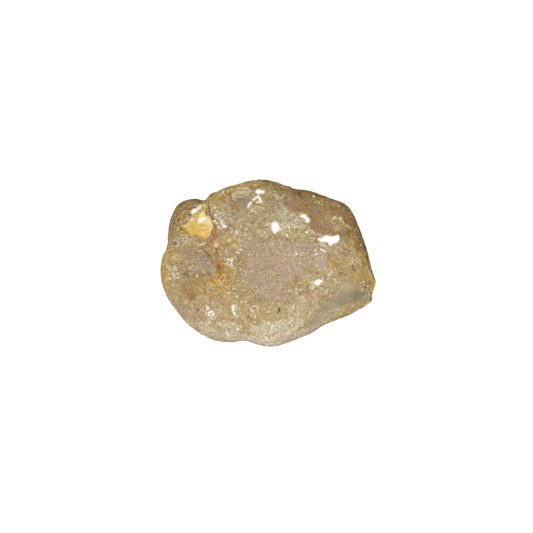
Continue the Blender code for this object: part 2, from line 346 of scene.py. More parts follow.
# Colours are as they look in the key light, 0 to 255. A mark can also change the skin's
# relief (how crinkled), rough (how matt), frost (pale curls), crust (cream specks), grit
# (dark specks) and grain. Its soft is the width of its edge, in millimetres.
skin = {"colour": (178, 153, 111), "relief": 1.0, "rough": 0.6, "frost": 0.4, "crust": 0.5,
        "grit": 0.15, "grain": 1.0}
# clearing lifts every colour to make up for the painted shade in the skin's hollows
clearing = np.array([1.04, 1.055, 1.075])  # makes up for what the skin's hollows darken
marks = {
    # broad zones
    "mauveHeart": areaMark([(-6.5, 5.5), (-1.0, 6.8), (6.0, 6.6), (12.5, 6.2), (17.0, 3.0),
        (16.0, -1.5), (10.5, -3.6), (5.5, -7.0), (5.0, -11.0), (-1.0, -9.6), (-5.0, -7.0),
        (-7.5, -1.0)], 3.0, (178, 152, 121), relief=0.6, rough=0.62, frost=1.0, crust=0.15,
        grain=0.9),
    "upperMauve": areaMark([(-8.5, 16.5), (-2.0, 15.0), (1.0, 17.5), (3.5, 15.0), (0.5, 12.5),
        (-3.0, 11.8), (-7.5, 11.0), (-10.0, 12.5)], 2.5, (172, 148, 110), relief=0.7, crust=0.15),
    "greyCrown": areaMark([(2.0, 14.0), (3.5, 17.0), (6.2, 17.0), (6.6, 13.8), (9.2, 13.3),
        (11.6, 11.5), (11.8, 9.6), (9.0, 9.8), (4.5, 10.2), (2.5, 12.0)], 1.6, (178, 162, 130),
        relief=0.8, crust=0.3, grain=0.8),
    "crownPale": lineMark([(-0.2, 10.4), (4.2, 10.4), (7.0, 10.1), (9.8, 9.9)], 0.5, 1.2,
        (206, 191, 162), crust=0.6),
    "underCrown": areaMark([(-2.5, 8.5), (2.5, 8.4), (6.5, 9.6), (12.0, 9.2), (13.0, 7.8),
        (8.0, 6.9), (1.0, 7.2), (-3.5, 7.0)], 1.6, (184, 162, 120), crust=1.0),
    "leftCrownCrust": areaMark([(-15.2, 16.5), (-10.5, 15.5), (-8.5, 13.5), (-10.0, 10.0),
        (-14.6, 9.8), (-15.6, 13.0)], 1.6, (178, 157, 118), crust=1.0, grain=1.5),
    "rightHoney": areaMark([(17.5, 6.0), (25.0, 6.5), (29.0, -2.0), (29.5, -6.0), (21.0, -5.3),
        (16.5, -3.0), (16.5, 1.0)], 2.5, (180, 154, 104), crust=0.25, relief=0.9),
    "rightWax": ovalMark(26.5, -3.4, 2.4, 2.0, 1.4, (182, 151, 92), relief=0.25, crust=0.1,
                         grain=0.5),
    "rightMauve": ovalMark(18.8, 4.0, 2.0, 1.2, 1.2, (186, 160, 126)),
    "rightBrown": ovalMark(21.0, 2.6, 1.8, 0.7, 0.9, (172, 143, 102)),
    "rightHoneySpot": ovalMark(19.6, -0.2, 1.2, 1.6, 1.2, (178, 148, 92)),
    "rightPink": ovalMark(23.0, 1.0, 1.6, 1.4, 1.4, (188, 163, 118)),
    "rightBrownSouth": ovalMark(20.6, -3.0, 1.6, 1.2, 1.2, (170, 141, 94)),
    "rightDusk": areaMark([(24.0, 5.2), (25.0, 6.6), (26.6, 6.0), (27.0, 3.0), (25.4, 3.2)], 1.2,
        (150, 121, 69), grit=0.6),
    "lowerHoney": areaMark([(-12.5, -9.0), (-6.0, -8.5), (-4.5, -10.0), (-1.0, -10.5),
        (4.0, -12.5), (3.0, -16.0), (-6.0, -17.0), (-12.5, -15.5)], 2.5, (176, 149, 100),
        relief=0.8, crust=0.3),
    "seamHoney": ovalMark(-11.9, -4.2, 2.6, 5.2, 2.4, (182, 149, 90), grain=1.4),
    "lowerRight": areaMark([(5.5, -12.5), (9.0, -9.0), (14.0, -8.0), (15.0, -12.0), (11.5, -16.5),
        (6.0, -15.5)], 2.0, (189, 167, 129), crust=0.5, grain=0.5),
    "lowerRightHoney": ovalMark(11.4, -10.0, 1.3, 1.1, 1.3, (178, 152, 109)),
    "lowerRightCrust": ovalMark(11.9, -15.8, 1.0, 0.8, 1.0, (196, 178, 144)),
    "bottomCream": areaMark([(-4.5, -17.5), (-1.0, -16.2), (2.5, -16.4), (8.0, -17.6),
        (8.5, -20.5), (4.0, -22.9), (-1.5, -23.4), (-4.5, -21.0)], 2.2, (214, 199, 168),
        relief=1.0, crust=1.0),
    "southCream": ovalMark(7.0, -16.8, 2.9, 1.4, 1.3, (212, 197, 168), crust=0.9),
    "creamFoot": ovalMark(-6.0, -21.5, 5.0, 1.2, 1.6, (220, 207, 186), crust=0.3),
    "lowCrust": ovalMark(-11.0, -18.4, 4.2, 1.9, 1.8, (198, 181, 144), crust=0.9, grain=1.1),
    "ochreFlat": areaMark([(-2.2, -14.3), (2.0, -14.3), (3.9, -15.3), (3.2, -16.1), (-1.2, -16.6),
        (-3.0, -15.6)], 1.0, (170, 142, 78), relief=0.4, crust=0.0, grain=0.5),
    "ochreEast": ovalMark(3.6, -14.3, 0.9, 0.6, 0.9, (188, 167, 131)),
    "honeyGap": ovalMark(-2.4, -16.9, 1.0, 0.6, 0.9, (177, 151, 98)),
    "leftMauve": areaMark([(-24.5, 4.5), (-19.0, 4.0), (-15.8, 0.0), (-16.5, -4.0), (-20.5, -4.9),
        (-25.0, -3.0), (-24.5, 1.0)], 2.4, (167, 141, 106), relief=0.8),
    "leftDusk": lineMark([(-22.2, -3.5), (-19.2, -3.2), (-16.2, -3.0)], 0.8, 1.4, (145, 117, 75)),
    "leftLobeHoney": ovalMark(-25.8, 1.8, 2.2, 3.2, 2.0, (178, 153, 102)),
    "lobeCrust": ovalMark(-26.0, -1.7, 1.2, 1.5, 1.0, (196, 173, 130), crust=0.9),
    "greyWindow": ovalMark(-17.7, 0.5, 2.0, 2.0, 1.6, (153, 135, 109), relief=0.5, crust=0.1),
    "honeyOval": areaMark([(-24.3, -5.6), (-22.0, -4.5), (-18.5, -4.4), (-17.3, -5.6),
        (-17.8, -8.0), (-19.8, -9.8), (-22.5, -9.6), (-24.5, -8.2)], 1.6, (158, 125, 68),
        relief=0.45, crust=0.05),
    "honeyOvalEast": ovalMark(-18.0, -6.5, 1.1, 1.5, 1.0, (159, 126, 62)),
    "honeyOvalEdge": lineMark([(-23.8, -8.4), (-22.8, -9.6), (-20.6, -9.9)], 0.4, 0.8,
        (142, 108, 58)),
    "lowerLeftPink": areaMark([(-27.5, -9.5), (-23.5, -8.8), (-18.5, -14.0), (-13.5, -18.6),
        (-8.0, -20.6), (-3.0, -21.6), (-3.0, -24.5), (-12.0, -24.5), (-20.0, -21.5),
        (-27.5, -14.0)], 2.0, (178, 153, 117), relief=0.8, crust=0.3, grain=1.3),
    "lowerLeftBand": lineMark([(-24.8, -12.4), (-21.8, -16.0), (-18.6, -18.4)], 1.2, 1.4,
        (183, 159, 125), relief=0.7),
    "lowerLeftRim": lineMark([(-27.2, -11.2), (-24.6, -15.2), (-20.8, -18.9), (-16.8, -21.2)],
        0.4, 0.8, (196, 177, 160)),
    "lowerLeftPale": lineMark([(-17.8, -18.6), (-13.0, -20.4), (-7.0, -21.0)], 1.0, 1.4,
        (206, 190, 166), relief=0.7),
    "bottomEdge": lineMark([(-7.0, -21.0), (-1.3, -22.2), (2.1, -22.4), (4.6, -21.6),
        (8.2, -20.2), (12.0, -18.6)], 0.8, 1.2, (208, 194, 171), relief=0.6),
    "waistHoney": lineMark([(-28.8, 1.0), (-28.2, 5.0), (-27.5, 8.0)], 1.1, 1.0, (174, 138, 70)),
    "leftRimHoney": areaMark([(-30.5, -8.5), (-27.6, -8.0), (-27.5, -3.0), (-28.0, 1.0),
        (-26.8, 5.2), (-31.0, 4.0)], 1.2, (192, 164, 102), grain=1.4),
    "oliveCorner": ovalMark(-11.3, 6.9, 1.6, 1.5, 1.4, (186, 166, 108)),
    "oliveUnder": lineMark([(-12.4, 4.9), (-10.4, 4.9), (-8.8, 5.9)], 0.6, 1.0, (182, 146, 84)),
    "oliveBright": ovalMark(-9.0, 4.4, 0.7, 0.6, 0.8, (204, 178, 112)),
    "leftCrownRust": areaMark([(-16.2, 18.4), (-14.6, 19.6), (-12.0, 20.6), (-11.2, 19.0),
        (-12.6, 17.2), (-15.4, 16.9)], 1.2, (186, 153, 90), grit=0.7),
    "crownRim": lineMark([(-14.2, 19.2), (-11.0, 20.6), (-6.0, 22.0), (-2.5, 22.6)], 0.8, 1.0,
        (197, 168, 108), grit=0.5, grain=1.7),
    "topDarkRim": lineMark([(0.5, 22.2), (3.0, 21.3), (5.6, 20.3)], 0.8, 0.9, (164, 137, 84),
        grit=0.7, grain=1.8),
    "crownRust": lineMark([(-10.3, 18.8), (-9.6, 17.0), (-9.7, 15.6), (-8.6, 15.1)], 0.55, 1.0,
        (156, 124, 74)),
    # painted light, lifting the cleft's shade beside it
    "cleftShoulderLight": lineMark([(-15.7, 16.9), (-15.2, 15.2), (-14.2, 13.2)], 0.7, 0.9,
        (206, 182, 136)),
    "crownGreyMauve": ovalMark(-7.2, 18.2, 1.9, 1.2, 1.2, (166, 148, 121), crust=0.1, grain=0.8),
    "crownMauve": ovalMark(-5.6, 16.7, 1.8, 1.1, 1.2, (160, 138, 111), crust=0.1),
    "crownBlue": ovalMark(-11.6, 12.9, 0.8, 1.3, 0.8, (176, 165, 133), crust=0.1, grain=0.8),
    "crownShade": ovalMark(-10.7, 10.6, 1.1, 1.6, 0.9, (146, 121, 92)),
    "crownPink": ovalMark(-9.4, 12.2, 1.1, 0.8, 1.0, (174, 150, 130)),
    "crownNest": ovalMark(-13.2, 13.2, 1.1, 1.2, 1.0, (194, 176, 144)),
    "crownBand": ovalMark(-7.2, 19.7, 2.4, 0.9, 1.0, (219, 206, 167), turn=15.0),
    "underFork": ovalMark(-3.4, 14.9, 1.9, 1.0, 1.2, (179, 162, 119), crust=0.8),
    "topGrey": ovalMark(3.0, 18.7, 1.7, 0.9, 1.2, (176, 163, 136)),
    "topMoss": ovalMark(5.5, 17.5, 1.2, 1.6, 1.2, (151, 129, 84)),
    "topShade": ovalMark(1.2, 17.1, 1.5, 1.3, 1.4, (160, 141, 106)),
    "topDark": lineMark([(2.7, 20.5), (4.4, 19.2)], 0.17, 0.5, (118, 98, 64)),
    # honey blushes round the mauve heart
    "heartHoneyEast": ovalMark(12.2, -2.2, 1.6, 0.9, 1.4, (176, 145, 92)),
    "heartHoneySouth": ovalMark(7.0, -6.3, 1.7, 1.3, 1.6, (176, 150, 104)),
    "heartHoneySpot": ovalMark(8.7, -5.0, 0.9, 0.6, 0.9, (174, 142, 96)),
    "heartHoneyNorth": ovalMark(5.6, 5.0, 0.9, 0.5, 0.9, (170, 144, 98)),
    "heartEdge": lineMark([(-3.6, 6.1), (1.0, 6.8), (5.0, 6.5), (8.6, 6.8)], 0.4, 1.2,
        (162, 135, 98)),
    "heartHoneyWest": ovalMark(-7.2, 0.4, 1.8, 3.3, 2.0, (164, 136, 94)),
    "heartShade": ovalMark(-3.8, 3.0, 1.1, 1.1, 1.4, (168, 141, 109)),
    "heartGlow": ovalMark(1.8, -4.8, 1.3, 1.1, 1.4, (187, 161, 134)),
    "heartGlowEast": ovalMark(11.3, -4.2, 1.2, 0.9, 1.2, (190, 167, 128)),
    "upperShade": ovalMark(-6.6, 9.8, 1.4, 1.1, 1.4, (167, 144, 106)),
    "heartSlab": ovalMark(14.8, 0.2, 1.9, 2.4, 1.4, (182, 161, 132)),
    "wedgeSmear": lineMark([(14.4, 5.7), (16.2, 5.0), (17.2, 4.3)], 0.35, 0.8, (228, 215, 190)),
    "smallSmear": lineMark([(12.4, -5.6), (12.7, -6.6), (12.3, -7.5)], 0.4, 0.9, (228, 212, 178)),
    "duskRim": lineMark([(25.3, 8.0), (26.2, 6.1), (26.9, 4.4)], 0.35, 0.8, (142, 112, 60)),
    "flankDusk": ovalMark(-21.4, -12.4, 1.3, 1.0, 1.1, (172, 146, 105)),
    "cheekGlow": ovalMark(15.8, 2.6, 0.8, 0.5, 0.8, (197, 180, 150)),
    "crescentDusk": ovalMark(-9.3, -12.6, 0.9, 1.6, 1.0, (188, 166, 128)),
    "topGlow": lineMark([(-7.0, 21.6), (-4.2, 22.3)], 0.3, 0.7, (194, 172, 122)),
    "waxGlow": ovalMark(24.5, -1.8, 0.7, 0.6, 0.9, (187, 162, 118)),
    "lobeGlow": ovalMark(-25.1, -0.9, 0.6, 0.6, 0.8, (200, 176, 124)),
    "seamDusk": ovalMark(-12.7, 3.0, 0.6, 0.7, 0.8, (171, 140, 95)),
    "footCream": ovalMark(5.7, -17.4, 1.0, 0.6, 0.9, (210, 196, 174)),
    "notchGlow": ovalMark(-16.5, 17.0, 0.7, 1.5, 0.8, (203, 175, 120)),
    "cleftGlow": ovalMark(-16.4, 14.8, 0.5, 1.2, 0.7, (198, 169, 112)),
    "cornerPale": ovalMark(28.2, -7.2, 0.7, 1.3, 0.8, (180, 159, 114)),
    "flankPale": ovalMark(-16.7, -16.5, 1.4, 0.8, 0.9, (200, 183, 148)),
    "knobEdgePale": ovalMark(-27.0, 9.8, 0.7, 1.8, 0.8, (188, 160, 112)),
    "footPale": lineMark([(-8.6, -15.0), (-5.0, -15.0)], 0.5, 1.0, (190, 169, 136)),
    "scratchPale": ovalMark(2.6, -12.6, 0.9, 0.9, 0.9, (188, 167, 136)),
    "creamPale": ovalMark(6.0, -15.8, 1.2, 0.7, 0.9, (207, 192, 168)),
    "rimPale": ovalMark(20.0, 14.5, 1.3, 0.8, 0.9, (162, 136, 96)),
    "scarPale": ovalMark(18.1, 9.9, 1.0, 0.7, 0.9, (174, 153, 120)),
    "cheekPale": ovalMark(16.7, -2.3, 1.1, 0.9, 1.0, (193, 172, 131)),
    "basinPale": ovalMark(8.3, -8.5, 0.9, 0.8, 0.9, (193, 174, 138)),
    "wedgeEastPale": ovalMark(21.1, 5.3, 0.8, 0.6, 0.8, (187, 166, 132)),
    # the smooth scar at the upper right
    "scarFace": areaMark([(5.6, 20.6), (6.1, 17.2), (6.7, 14.1), (9.0, 13.9), (10.8, 14.0),
        (11.7, 12.8), (12.0, 10.1), (12.6, 9.0), (13.4, 8.3), (15.6, 7.7), (19.8, 8.1),
        (23.1, 7.6), (27.0, 8.0), (26.0, 14.0), (20.0, 18.5), (12.0, 20.8)], 0.7, (157, 128, 90),
        relief=0.4, rough=0.5, frost=0.1, crust=0.06),
    "scarMauve": ovalMark(16.4, 12.3, 1.7, 1.9, 1.8, (168, 138, 110)),
    "scarMauveLeft": ovalMark(9.5, 15.9, 3.0, 1.4, 1.5, (156, 128, 83)),
    "scarOlive": areaMark([(11.0, 19.6), (15.0, 17.9), (19.5, 17.0), (19.0, 14.8), (15.0, 15.6),
        (12.0, 17.2)], 1.6, (157, 132, 75), relief=0.9, crust=0.4, grit=0.45, grain=1.2),
    "scarTop": ovalMark(15.9, 17.1, 1.6, 0.9, 0.9, (174, 149, 98)),
    "scarRim": lineMark([(9.6, 19.9), (12.4, 19.2), (15.4, 18.8)], 0.5, 0.8, (147, 117, 56),
        grit=0.5),
    "scarEast": areaMark([(21.5, 15.0), (23.5, 13.0), (25.0, 8.5), (21.5, 8.3), (22.5, 10.5),
        (21.0, 13.5)], 1.4, (151, 121, 63), relief=0.6, grit=0.4),
    "scarFoot": lineMark([(20.6, 7.7), (22.5, 7.2), (24.6, 6.4)], 0.5, 0.8, (150, 119, 68),
        relief=0.6),
    "roughOlive": ovalMark(19.6, 12.0, 2.0, 1.5, 0.9, (168, 147, 110), relief=1.2, crust=0.5),
    "roughFoot": ovalMark(19.6, 9.9, 2.4, 0.8, 0.9, (178, 155, 120)),
    "darkPatch": ovalMark(8.9, 19.4, 1.2, 0.8, 0.9, (124, 92, 56), grit=0.8),
    "scarLip": lineMark([(12.2, 10.2), (12.8, 8.9), (13.6, 8.2), (15.0, 7.8)], 0.2, 0.4,
        (196, 180, 146)),
    # the grey band and the lower right
    "greyBand": areaMark([(14.7, -13.4), (15.4, -11.9), (16.9, -10.9), (18.8, -10.0),
        (20.0, -8.8), (21.2, -7.9), (22.2, -7.5), (24.0, -7.7), (25.9, -7.5), (26.7, -8.6),
        (26.5, -10.3), (25.0, -11.3), (23.0, -11.8), (20.9, -12.6), (18.1, -13.3), (15.5, -13.9)],
        1.3, (153, 140, 111), relief=0.1, rough=0.5, frost=0.0, crust=0.0, grit=0.0, grain=0.5),
    "bandDark": ovalMark(25.2, -9.2, 1.4, 1.0, 1.6, (146, 134, 105)),
    "bandEnd": lineMark([(26.0, -8.2), (26.7, -9.2), (27.0, -10.2)], 0.15, 0.5, (116, 102, 72)),
    "bandLight": ovalMark(17.8, -12.0, 1.8, 1.2, 1.2, (166, 154, 124), turn=20.0),
    "lilacEdge": areaMark([(16.4, -10.4), (17.6, -8.8), (19.8, -7.4), (20.4, -6.0), (23.0, -5.7),
        (26.0, -5.9), (26.0, -7.4), (24.0, -7.7), (21.4, -7.9), (19.8, -8.7), (18.4, -9.9)], 0.9,
        (175, 152, 114), relief=0.3, crust=0.05, grain=0.5),
    "lilacStreak": lineMark([(16.9, -9.6), (18.6, -8.4)], 0.25, 0.4, (156, 126, 90)),
    "honeyStrip": areaMark([(17.6, -14.0), (19.6, -12.8), (22.2, -11.9), (25.4, -10.9),
        (27.4, -10.3), (28.6, -11.0), (25.0, -13.6), (20.6, -15.7), (17.5, -16.4)], 0.9,
        (185, 160, 112), crust=0.35),
    "greyFoot": areaMark([(11.5, -17.6), (13.0, -15.4), (14.4, -14.0), (17.6, -13.9),
        (18.2, -14.8), (17.0, -16.0), (13.8, -18.0), (12.0, -19.0)], 1.0, (171, 157, 129),
        relief=0.3, crust=0.05, grain=0.3),
    "pinkTip": lineMark([(3.5, -22.4), (6.5, -21.4), (12.0, -19.2), (16.0, -17.0)], 0.45, 0.8,
        (198, 180, 154)),
    "cornerGrey": ovalMark(27.6, -9.8, 1.3, 0.9, 0.9, (176, 161, 128), grit=0.4),
    "cornerGlass": ovalMark(28.7, -8.7, 0.7, 0.7, 0.5, (198, 182, 154)),
    "cornerDark": ovalMark(29.1, -10.3, 0.35, 0.35, 0.4, (92, 76, 56)),
    "rightRimGold": lineMark([(29.6, -3.6), (29.8, -5.4), (29.5, -7.6)], 0.7, 0.9, (203, 170, 92),
        grit=0.5),
    "rightRimGrit": lineMark([(26.8, 3.0), (27.8, 0.2)], 0.9, 1.3, (181, 151, 90), grit=1.0),
    # thin dark lines of painted shade along the outline, where the stone turns away
    "rightRimShade": lineMark([(17.6, 18.1), (20.1, 17.1), (22.3, 15.7), (24.2, 13.0), (25.6, 9.4),
        (27.0, 5.6), (28.0, 1.5)], 0.2, 0.5, (112, 85, 40)),
    "topRimShade": lineMark([(-2.6, 23.0), (-0.2, 22.8), (2.2, 22.2), (4.3, 21.3), (7.0, 20.7)], 0.12,
        0.4, (134, 108, 62)),
    "leftRimShade": lineMark([(-27.6, 7.2), (-28.4, 3.0), (-29.3, 0.0), (-29.4, -3.2), (-28.7, -7.2)],
        0.15, 0.5, (160, 138, 98)),
    "orangeHalo": lineMark([(14.6, -9.8), (16.4, -8.2)], 0.5, 1.0, (190, 160, 112)),
    "orangeBlush": ovalMark(14.8, -9.1, 0.6, 0.4, 0.5, (220, 150, 66), grain=0.4),
    "brownPit": ovalMark(9.8, -8.3, 0.4, 0.35, 0.5, (152, 114, 62)),
    "rightScratch": lineMark([(23.8, -0.9), (24.6, -2.3)], 0.2, 0.3, (134, 98, 50)),
    "lowerScratch": lineMark([(3.35, -12.7), (3.3, -13.3)], 0.2, 0.2, (70, 42, 28)),
    "lowerScratchEnd": lineMark([(3.2, -13.5), (3.0, -14.0)], 0.2, 0.3, (118, 86, 60)),
    "lowerPit": ovalMark(-5.4, -15.1, 0.35, 0.35, 0.3, (122, 92, 56)),
    "ochreLine": lineMark([(-1.2, -14.2), (3.0, -14.1)], 0.08, 0.3, (160, 124, 70)),
    "olivePit": ovalMark(-2.3, -10.5, 1.2, 0.8, 0.9, (154, 132, 82)),
    "crescentBrown": ovalMark(-9.8, -11.3, 0.55, 0.4, 0.6, (166, 120, 68)),
    "lowBrownSpot": ovalMark(-19.6, -13.2, 0.35, 0.35, 0.3, (146, 104, 46)),
    # the knob and its yellow chip
    "knobSkin": ovalMark(-22.8, 12.3, 5.0, 5.2, 2.6, (176, 144, 84), grit=1.0, grain=1.6),
    "knobShade": lineMark([(-26.1, 13.6), (-25.1, 15.3), (-23.5, 16.7)], 0.6, 1.0,
        (147, 119, 73)),
    "knobLeft": ovalMark(-26.6, 9.8, 0.9, 3.4, 1.2, (156, 132, 92), relief=0.5),
    "knobBrow": lineMark([(-22.0, 17.6), (-19.8, 17.8), (-18.7, 17.7)], 0.5, 0.8, (124, 90, 48),
        grit=0.6),
    "knobMauve": ovalMark(-20.8, 16.3, 1.3, 0.7, 0.9, (160, 138, 104)),
    "knobDarkSpot": ovalMark(-21.7, 14.9, 0.4, 0.3, 0.3, (110, 82, 48)),
    "knobDarkSide": lineMark([(-22.9, 15.6), (-22.3, 14.3)], 0.2, 0.3, (128, 98, 58)),
    "knobFoot": ovalMark(-24.0, 6.0, 3.2, 1.3, 1.3, (180, 160, 120), crust=0.8),
    "underChip": ovalMark(-18.4, 5.9, 2.3, 1.1, 1.0, (160, 133, 87), relief=0.5, crust=0.05),
    "chip": areaMark([(-18.3, 14.3), (-17.4, 14.2), (-17.2, 13.3), (-16.6, 12.7), (-15.9, 12.0),
        (-15.4, 11.0), (-15.2, 10.0), (-15.7, 9.2), (-15.8, 8.4), (-16.2, 7.9), (-16.2, 7.4),
        (-16.9, 6.9), (-17.9, 7.0), (-18.6, 7.0), (-19.3, 7.4), (-20.0, 7.8), (-20.7, 7.6),
        (-21.3, 7.3), (-21.8, 7.6), (-22.0, 8.4), (-22.6, 9.0), (-22.8, 9.8), (-24.1, 10.2),
        (-23.2, 10.7), (-22.5, 11.1), (-21.9, 11.9), (-21.4, 12.8), (-20.8, 13.5), (-19.9, 13.9),
        (-19.0, 14.0)], 0.2, (212, 181, 96), relief=0.2, rough=0.55, frost=0.0, crust=0.1,
        grit=0.0, grain=0.35),
    "chipLight": areaMark([(-19.2, 14.0), (-17.4, 14.1), (-17.0, 13.0), (-16.0, 11.9),
        (-15.5, 10.8), (-15.6, 9.8), (-16.2, 9.2), (-16.6, 10.6), (-17.6, 10.8), (-19.4, 10.9),
        (-19.6, 12.2)], 0.6, (228, 206, 142)),
    "chipHeart": ovalMark(-18.2, 11.8, 0.8, 0.75, 0.5, (250, 244, 218)),
    "chipCrown": ovalMark(-18.0, 13.3, 0.7, 0.5, 0.5, (244, 228, 178)),
    "chipTan": areaMark([(-21.3, 12.9), (-20.2, 13.6), (-19.7, 12.6), (-20.6, 11.4),
        (-21.6, 11.9)], 0.6, (202, 172, 108)),
    "chipTip": lineMark([(-24.0, 10.25), (-23.1, 10.2)], 0.2, 0.2, (232, 208, 160)),
    "chipFold": lineMark([(-21.4, 13.1), (-22.0, 12.2), (-22.9, 11.3)], 0.15, 0.3, (128, 98, 54)),
    "chipDeep": areaMark([(-20.4, 8.6), (-18.6, 7.1), (-17.0, 7.0), (-16.4, 7.9), (-16.6, 9.0),
        (-18.4, 9.2), (-19.4, 9.0)], 0.5, (212, 175, 68)),
    "chipDeepLeft": ovalMark(-20.9, 9.6, 1.4, 1.2, 0.9, (212, 178, 88)),
    "chipSpot": ovalMark(-21.2, 12.1, 0.3, 0.3, 0.3, (246, 236, 214)),
    "chipPale": ovalMark(-18.0, 8.2, 0.35, 0.3, 0.3, (236, 206, 150)),
    "chipStepLow": lineMark([(-20.4, 9.2), (-19.4, 8.3), (-18.5, 7.8)], 0.1, 0.25,
        (196, 152, 62)),
    "chipStepMid": lineMark([(-19.2, 9.4), (-17.0, 9.25)], 0.17, 0.25, (194, 150, 66)),
    "chipStepHigh": lineMark([(-18.8, 9.75), (-17.2, 9.75)], 0.14, 0.2, (232, 204, 138)),
    "chipUnderHeart": lineMark([(-18.5, 10.5), (-16.9, 10.25)], 0.22, 0.3, (214, 178, 78)),
    "chipArc": lineMark([(-21.2, 10.4), (-20.5, 9.4), (-19.6, 8.7)], 0.17, 0.25, (198, 154, 66)),
    "chipCrease": lineMark([(-21.6, 8.1), (-20.6, 8.35), (-19.4, 8.1), (-18.4, 7.5)], 0.17, 0.25,
        (208, 168, 58)),
    "chipPane": lineMark([(-20.0, 12.9), (-19.8, 11.2)], 0.17, 0.25, (196, 160, 88)),
    "chipPanePale": lineMark([(-20.6, 12.4), (-20.5, 10.8)], 0.17, 0.25, (222, 196, 140)),
    "chipSide": lineMark([(-16.6, 10.0), (-16.5, 8.3)], 0.15, 0.25, (206, 162, 78)),
    "chipSidePale": lineMark([(-16.1, 9.9), (-16.2, 8.1)], 0.15, 0.25, (236, 210, 154)),
    "chipStepLeft": lineMark([(-21.6, 11.2), (-20.9, 10.2), (-20.8, 8.9)], 0.07, 0.25,
        (206, 164, 88)),
    # the pale flap by the chip, made paler with painted light that lifts the cleft's shade
    "flapPaintedLight": areaMark([(-18.4, 14.4), (-18.2, 15.6), (-17.9, 17.0), (-17.4, 17.6), (-16.9, 17.2),
        (-17.0, 15.4), (-17.3, 14.3)], 0.4, (222, 198, 144), relief=0.5),
    "flapFold": lineMark([(-18.0, 14.6), (-17.9, 15.7)], 0.12, 0.3, (160, 124, 66)),
    "flapRust": lineMark([(-17.3, 15.4), (-17.2, 14.6)], 0.12, 0.3, (196, 150, 100)),
    # a painted highlight on the chip's glassy lip
    "chipLipHighlight": areaMark([(-21.6, 13.7), (-21.3, 14.2), (-21.0, 14.8), (-20.4, 15.1),
        (-19.8, 15.1), (-19.2, 16.0), (-18.4, 16.3), (-18.4, 15.5), (-19.0, 14.7), (-19.8, 14.2),
        (-20.8, 13.8)], 0.25, (246, 238, 220), relief=0.5, grit=0.0),
    # the cleft and the rust seam below it
    "cleftBand": lineMark([(-16.8, 14.4), (-16.6, 13.6), (-15.8, 12.7), (-15.2, 11.6)], 0.3, 0.4,
        (168, 128, 66)),
    "cleftLine": lineMark([(-16.6, 17.2), (-16.5, 16.2), (-16.4, 15.0), (-16.0, 13.9),
        (-15.4, 12.8), (-14.9, 11.6), (-14.7, 10.2), (-14.6, 8.8)], 0.17, 0.3, (122, 86, 44)),
    "rustTop": lineMark([(-15.5, 8.4), (-14.7, 7.6), (-14.0, 6.8)], 0.6, 0.9, (166, 114, 62)),
    "seamWest": ovalMark(-12.9, 3.3, 0.7, 1.1, 0.9, (170, 139, 92)),
    "seamSouth": ovalMark(-15.6, -3.2, 0.9, 0.7, 0.9, (170, 135, 78)),
    "rustLeft": lineMark([(-15.9, 7.2), (-15.8, 5.6)], 0.25, 0.5, (146, 108, 66)),
    "rustShoulder": lineMark([(-15.2, 7.0), (-15.2, 5.6), (-14.9, 4.2)], 0.5, 0.7,
        (176, 128, 86)),
    "rustBead": ovalMark(-14.1, 6.9, 0.4, 0.5, 0.5, (200, 154, 104)),
    "peachBead": ovalMark(-14.3, 5.1, 1.1, 1.3, 0.5, (190, 150, 98), relief=0.3),
    "peachHeart": ovalMark(-14.6, 4.8, 0.5, 0.6, 0.5, (216, 192, 158), relief=0.3),
    "peachRing": lineMark([(-13.6, 6.0), (-13.4, 4.9), (-13.9, 4.0), (-14.9, 4.1)], 0.1, 0.3,
        (172, 130, 82)),
    "rustNeck": lineMark([(-14.4, 3.4), (-14.2, 1.8)], 0.55, 0.6, (160, 110, 66)),
    "rustKnot": lineMark([(-14.3, 0.4), (-12.6, 0.2)], 0.65, 0.9, (176, 126, 72)),
    "rustFan": areaMark([(-14.5, 0.2), (-12.4, 0.3), (-11.9, -1.2), (-12.2, -3.0), (-13.2, -4.8),
        (-14.6, -4.2), (-14.5, -2.0)], 1.2, (184, 133, 60)),
    "rustSeam": lineMark([(-13.9, -0.4), (-13.9, -2.6)], 0.45, 0.6, (146, 100, 48)),
    "rustSide": lineMark([(-12.9, -1.1), (-12.8, -2.1)], 0.2, 0.5, (166, 124, 76)),
    "rustPool": ovalMark(-13.8, -3.5, 0.9, 1.1, 0.8, (184, 132, 50)),
    "rustRun": lineMark([(-13.9, -3.2), (-14.6, -4.4), (-15.4, -5.1)], 0.45, 0.8, (186, 141, 74)),
    "rustArc": lineMark([(-17.8, 3.3), (-16.5, 2.1), (-15.6, 1.0), (-14.9, 0.3)], 0.4, 0.6,
        (152, 110, 64)),
    "rustDotHalo": ovalMark(-15.5, -5.6, 0.9, 0.9, 0.9, (200, 158, 80)),
    "rustDot": ovalMark(-15.6, -5.2, 0.8, 0.5, 0.5, (172, 128, 36)),
    "rustDotBelow": ovalMark(-14.2, -8.0, 1.0, 0.8, 0.9, (200, 167, 98)),
    "rustTail": lineMark([(-16.9, -8.4), (-16.6, -9.2), (-16.0, -9.9)], 0.35, 0.4,
        (184, 138, 62)),
    "lobeDarkSpot": ovalMark(-26.5, -0.5, 0.3, 0.22, 0.3, (112, 82, 46)),
    "waistDarkSpot": ovalMark(-26.0, 5.0, 0.5, 0.3, 0.4, (116, 84, 48)),
    # the pale crescent and the nests of curls
    "crescentCream": areaMark([(-9.6, -11.8), (-8.7, -11.7), (-8.6, -12.8), (-9.0, -13.6),
        (-9.7, -13.6), (-9.9, -12.8)], 0.4, (206, 190, 152), relief=0.4),
    "curlNest": ovalMark(-10.5, -0.1, 1.1, 1.1, 0.8, (188, 174, 148)),
    "lowNest": areaMark([(-17.1, -13.0), (-16.0, -13.2), (-14.9, -13.8), (-14.4, -15.4),
        (-15.2, -16.2), (-16.3, -15.9), (-16.9, -14.6)], 0.6, (208, 198, 170), relief=1.2,
        crust=0.9),
    "nestLilac": ovalMark(-14.2, -14.7, 0.8, 0.9, 0.8, (202, 181, 152)),
}
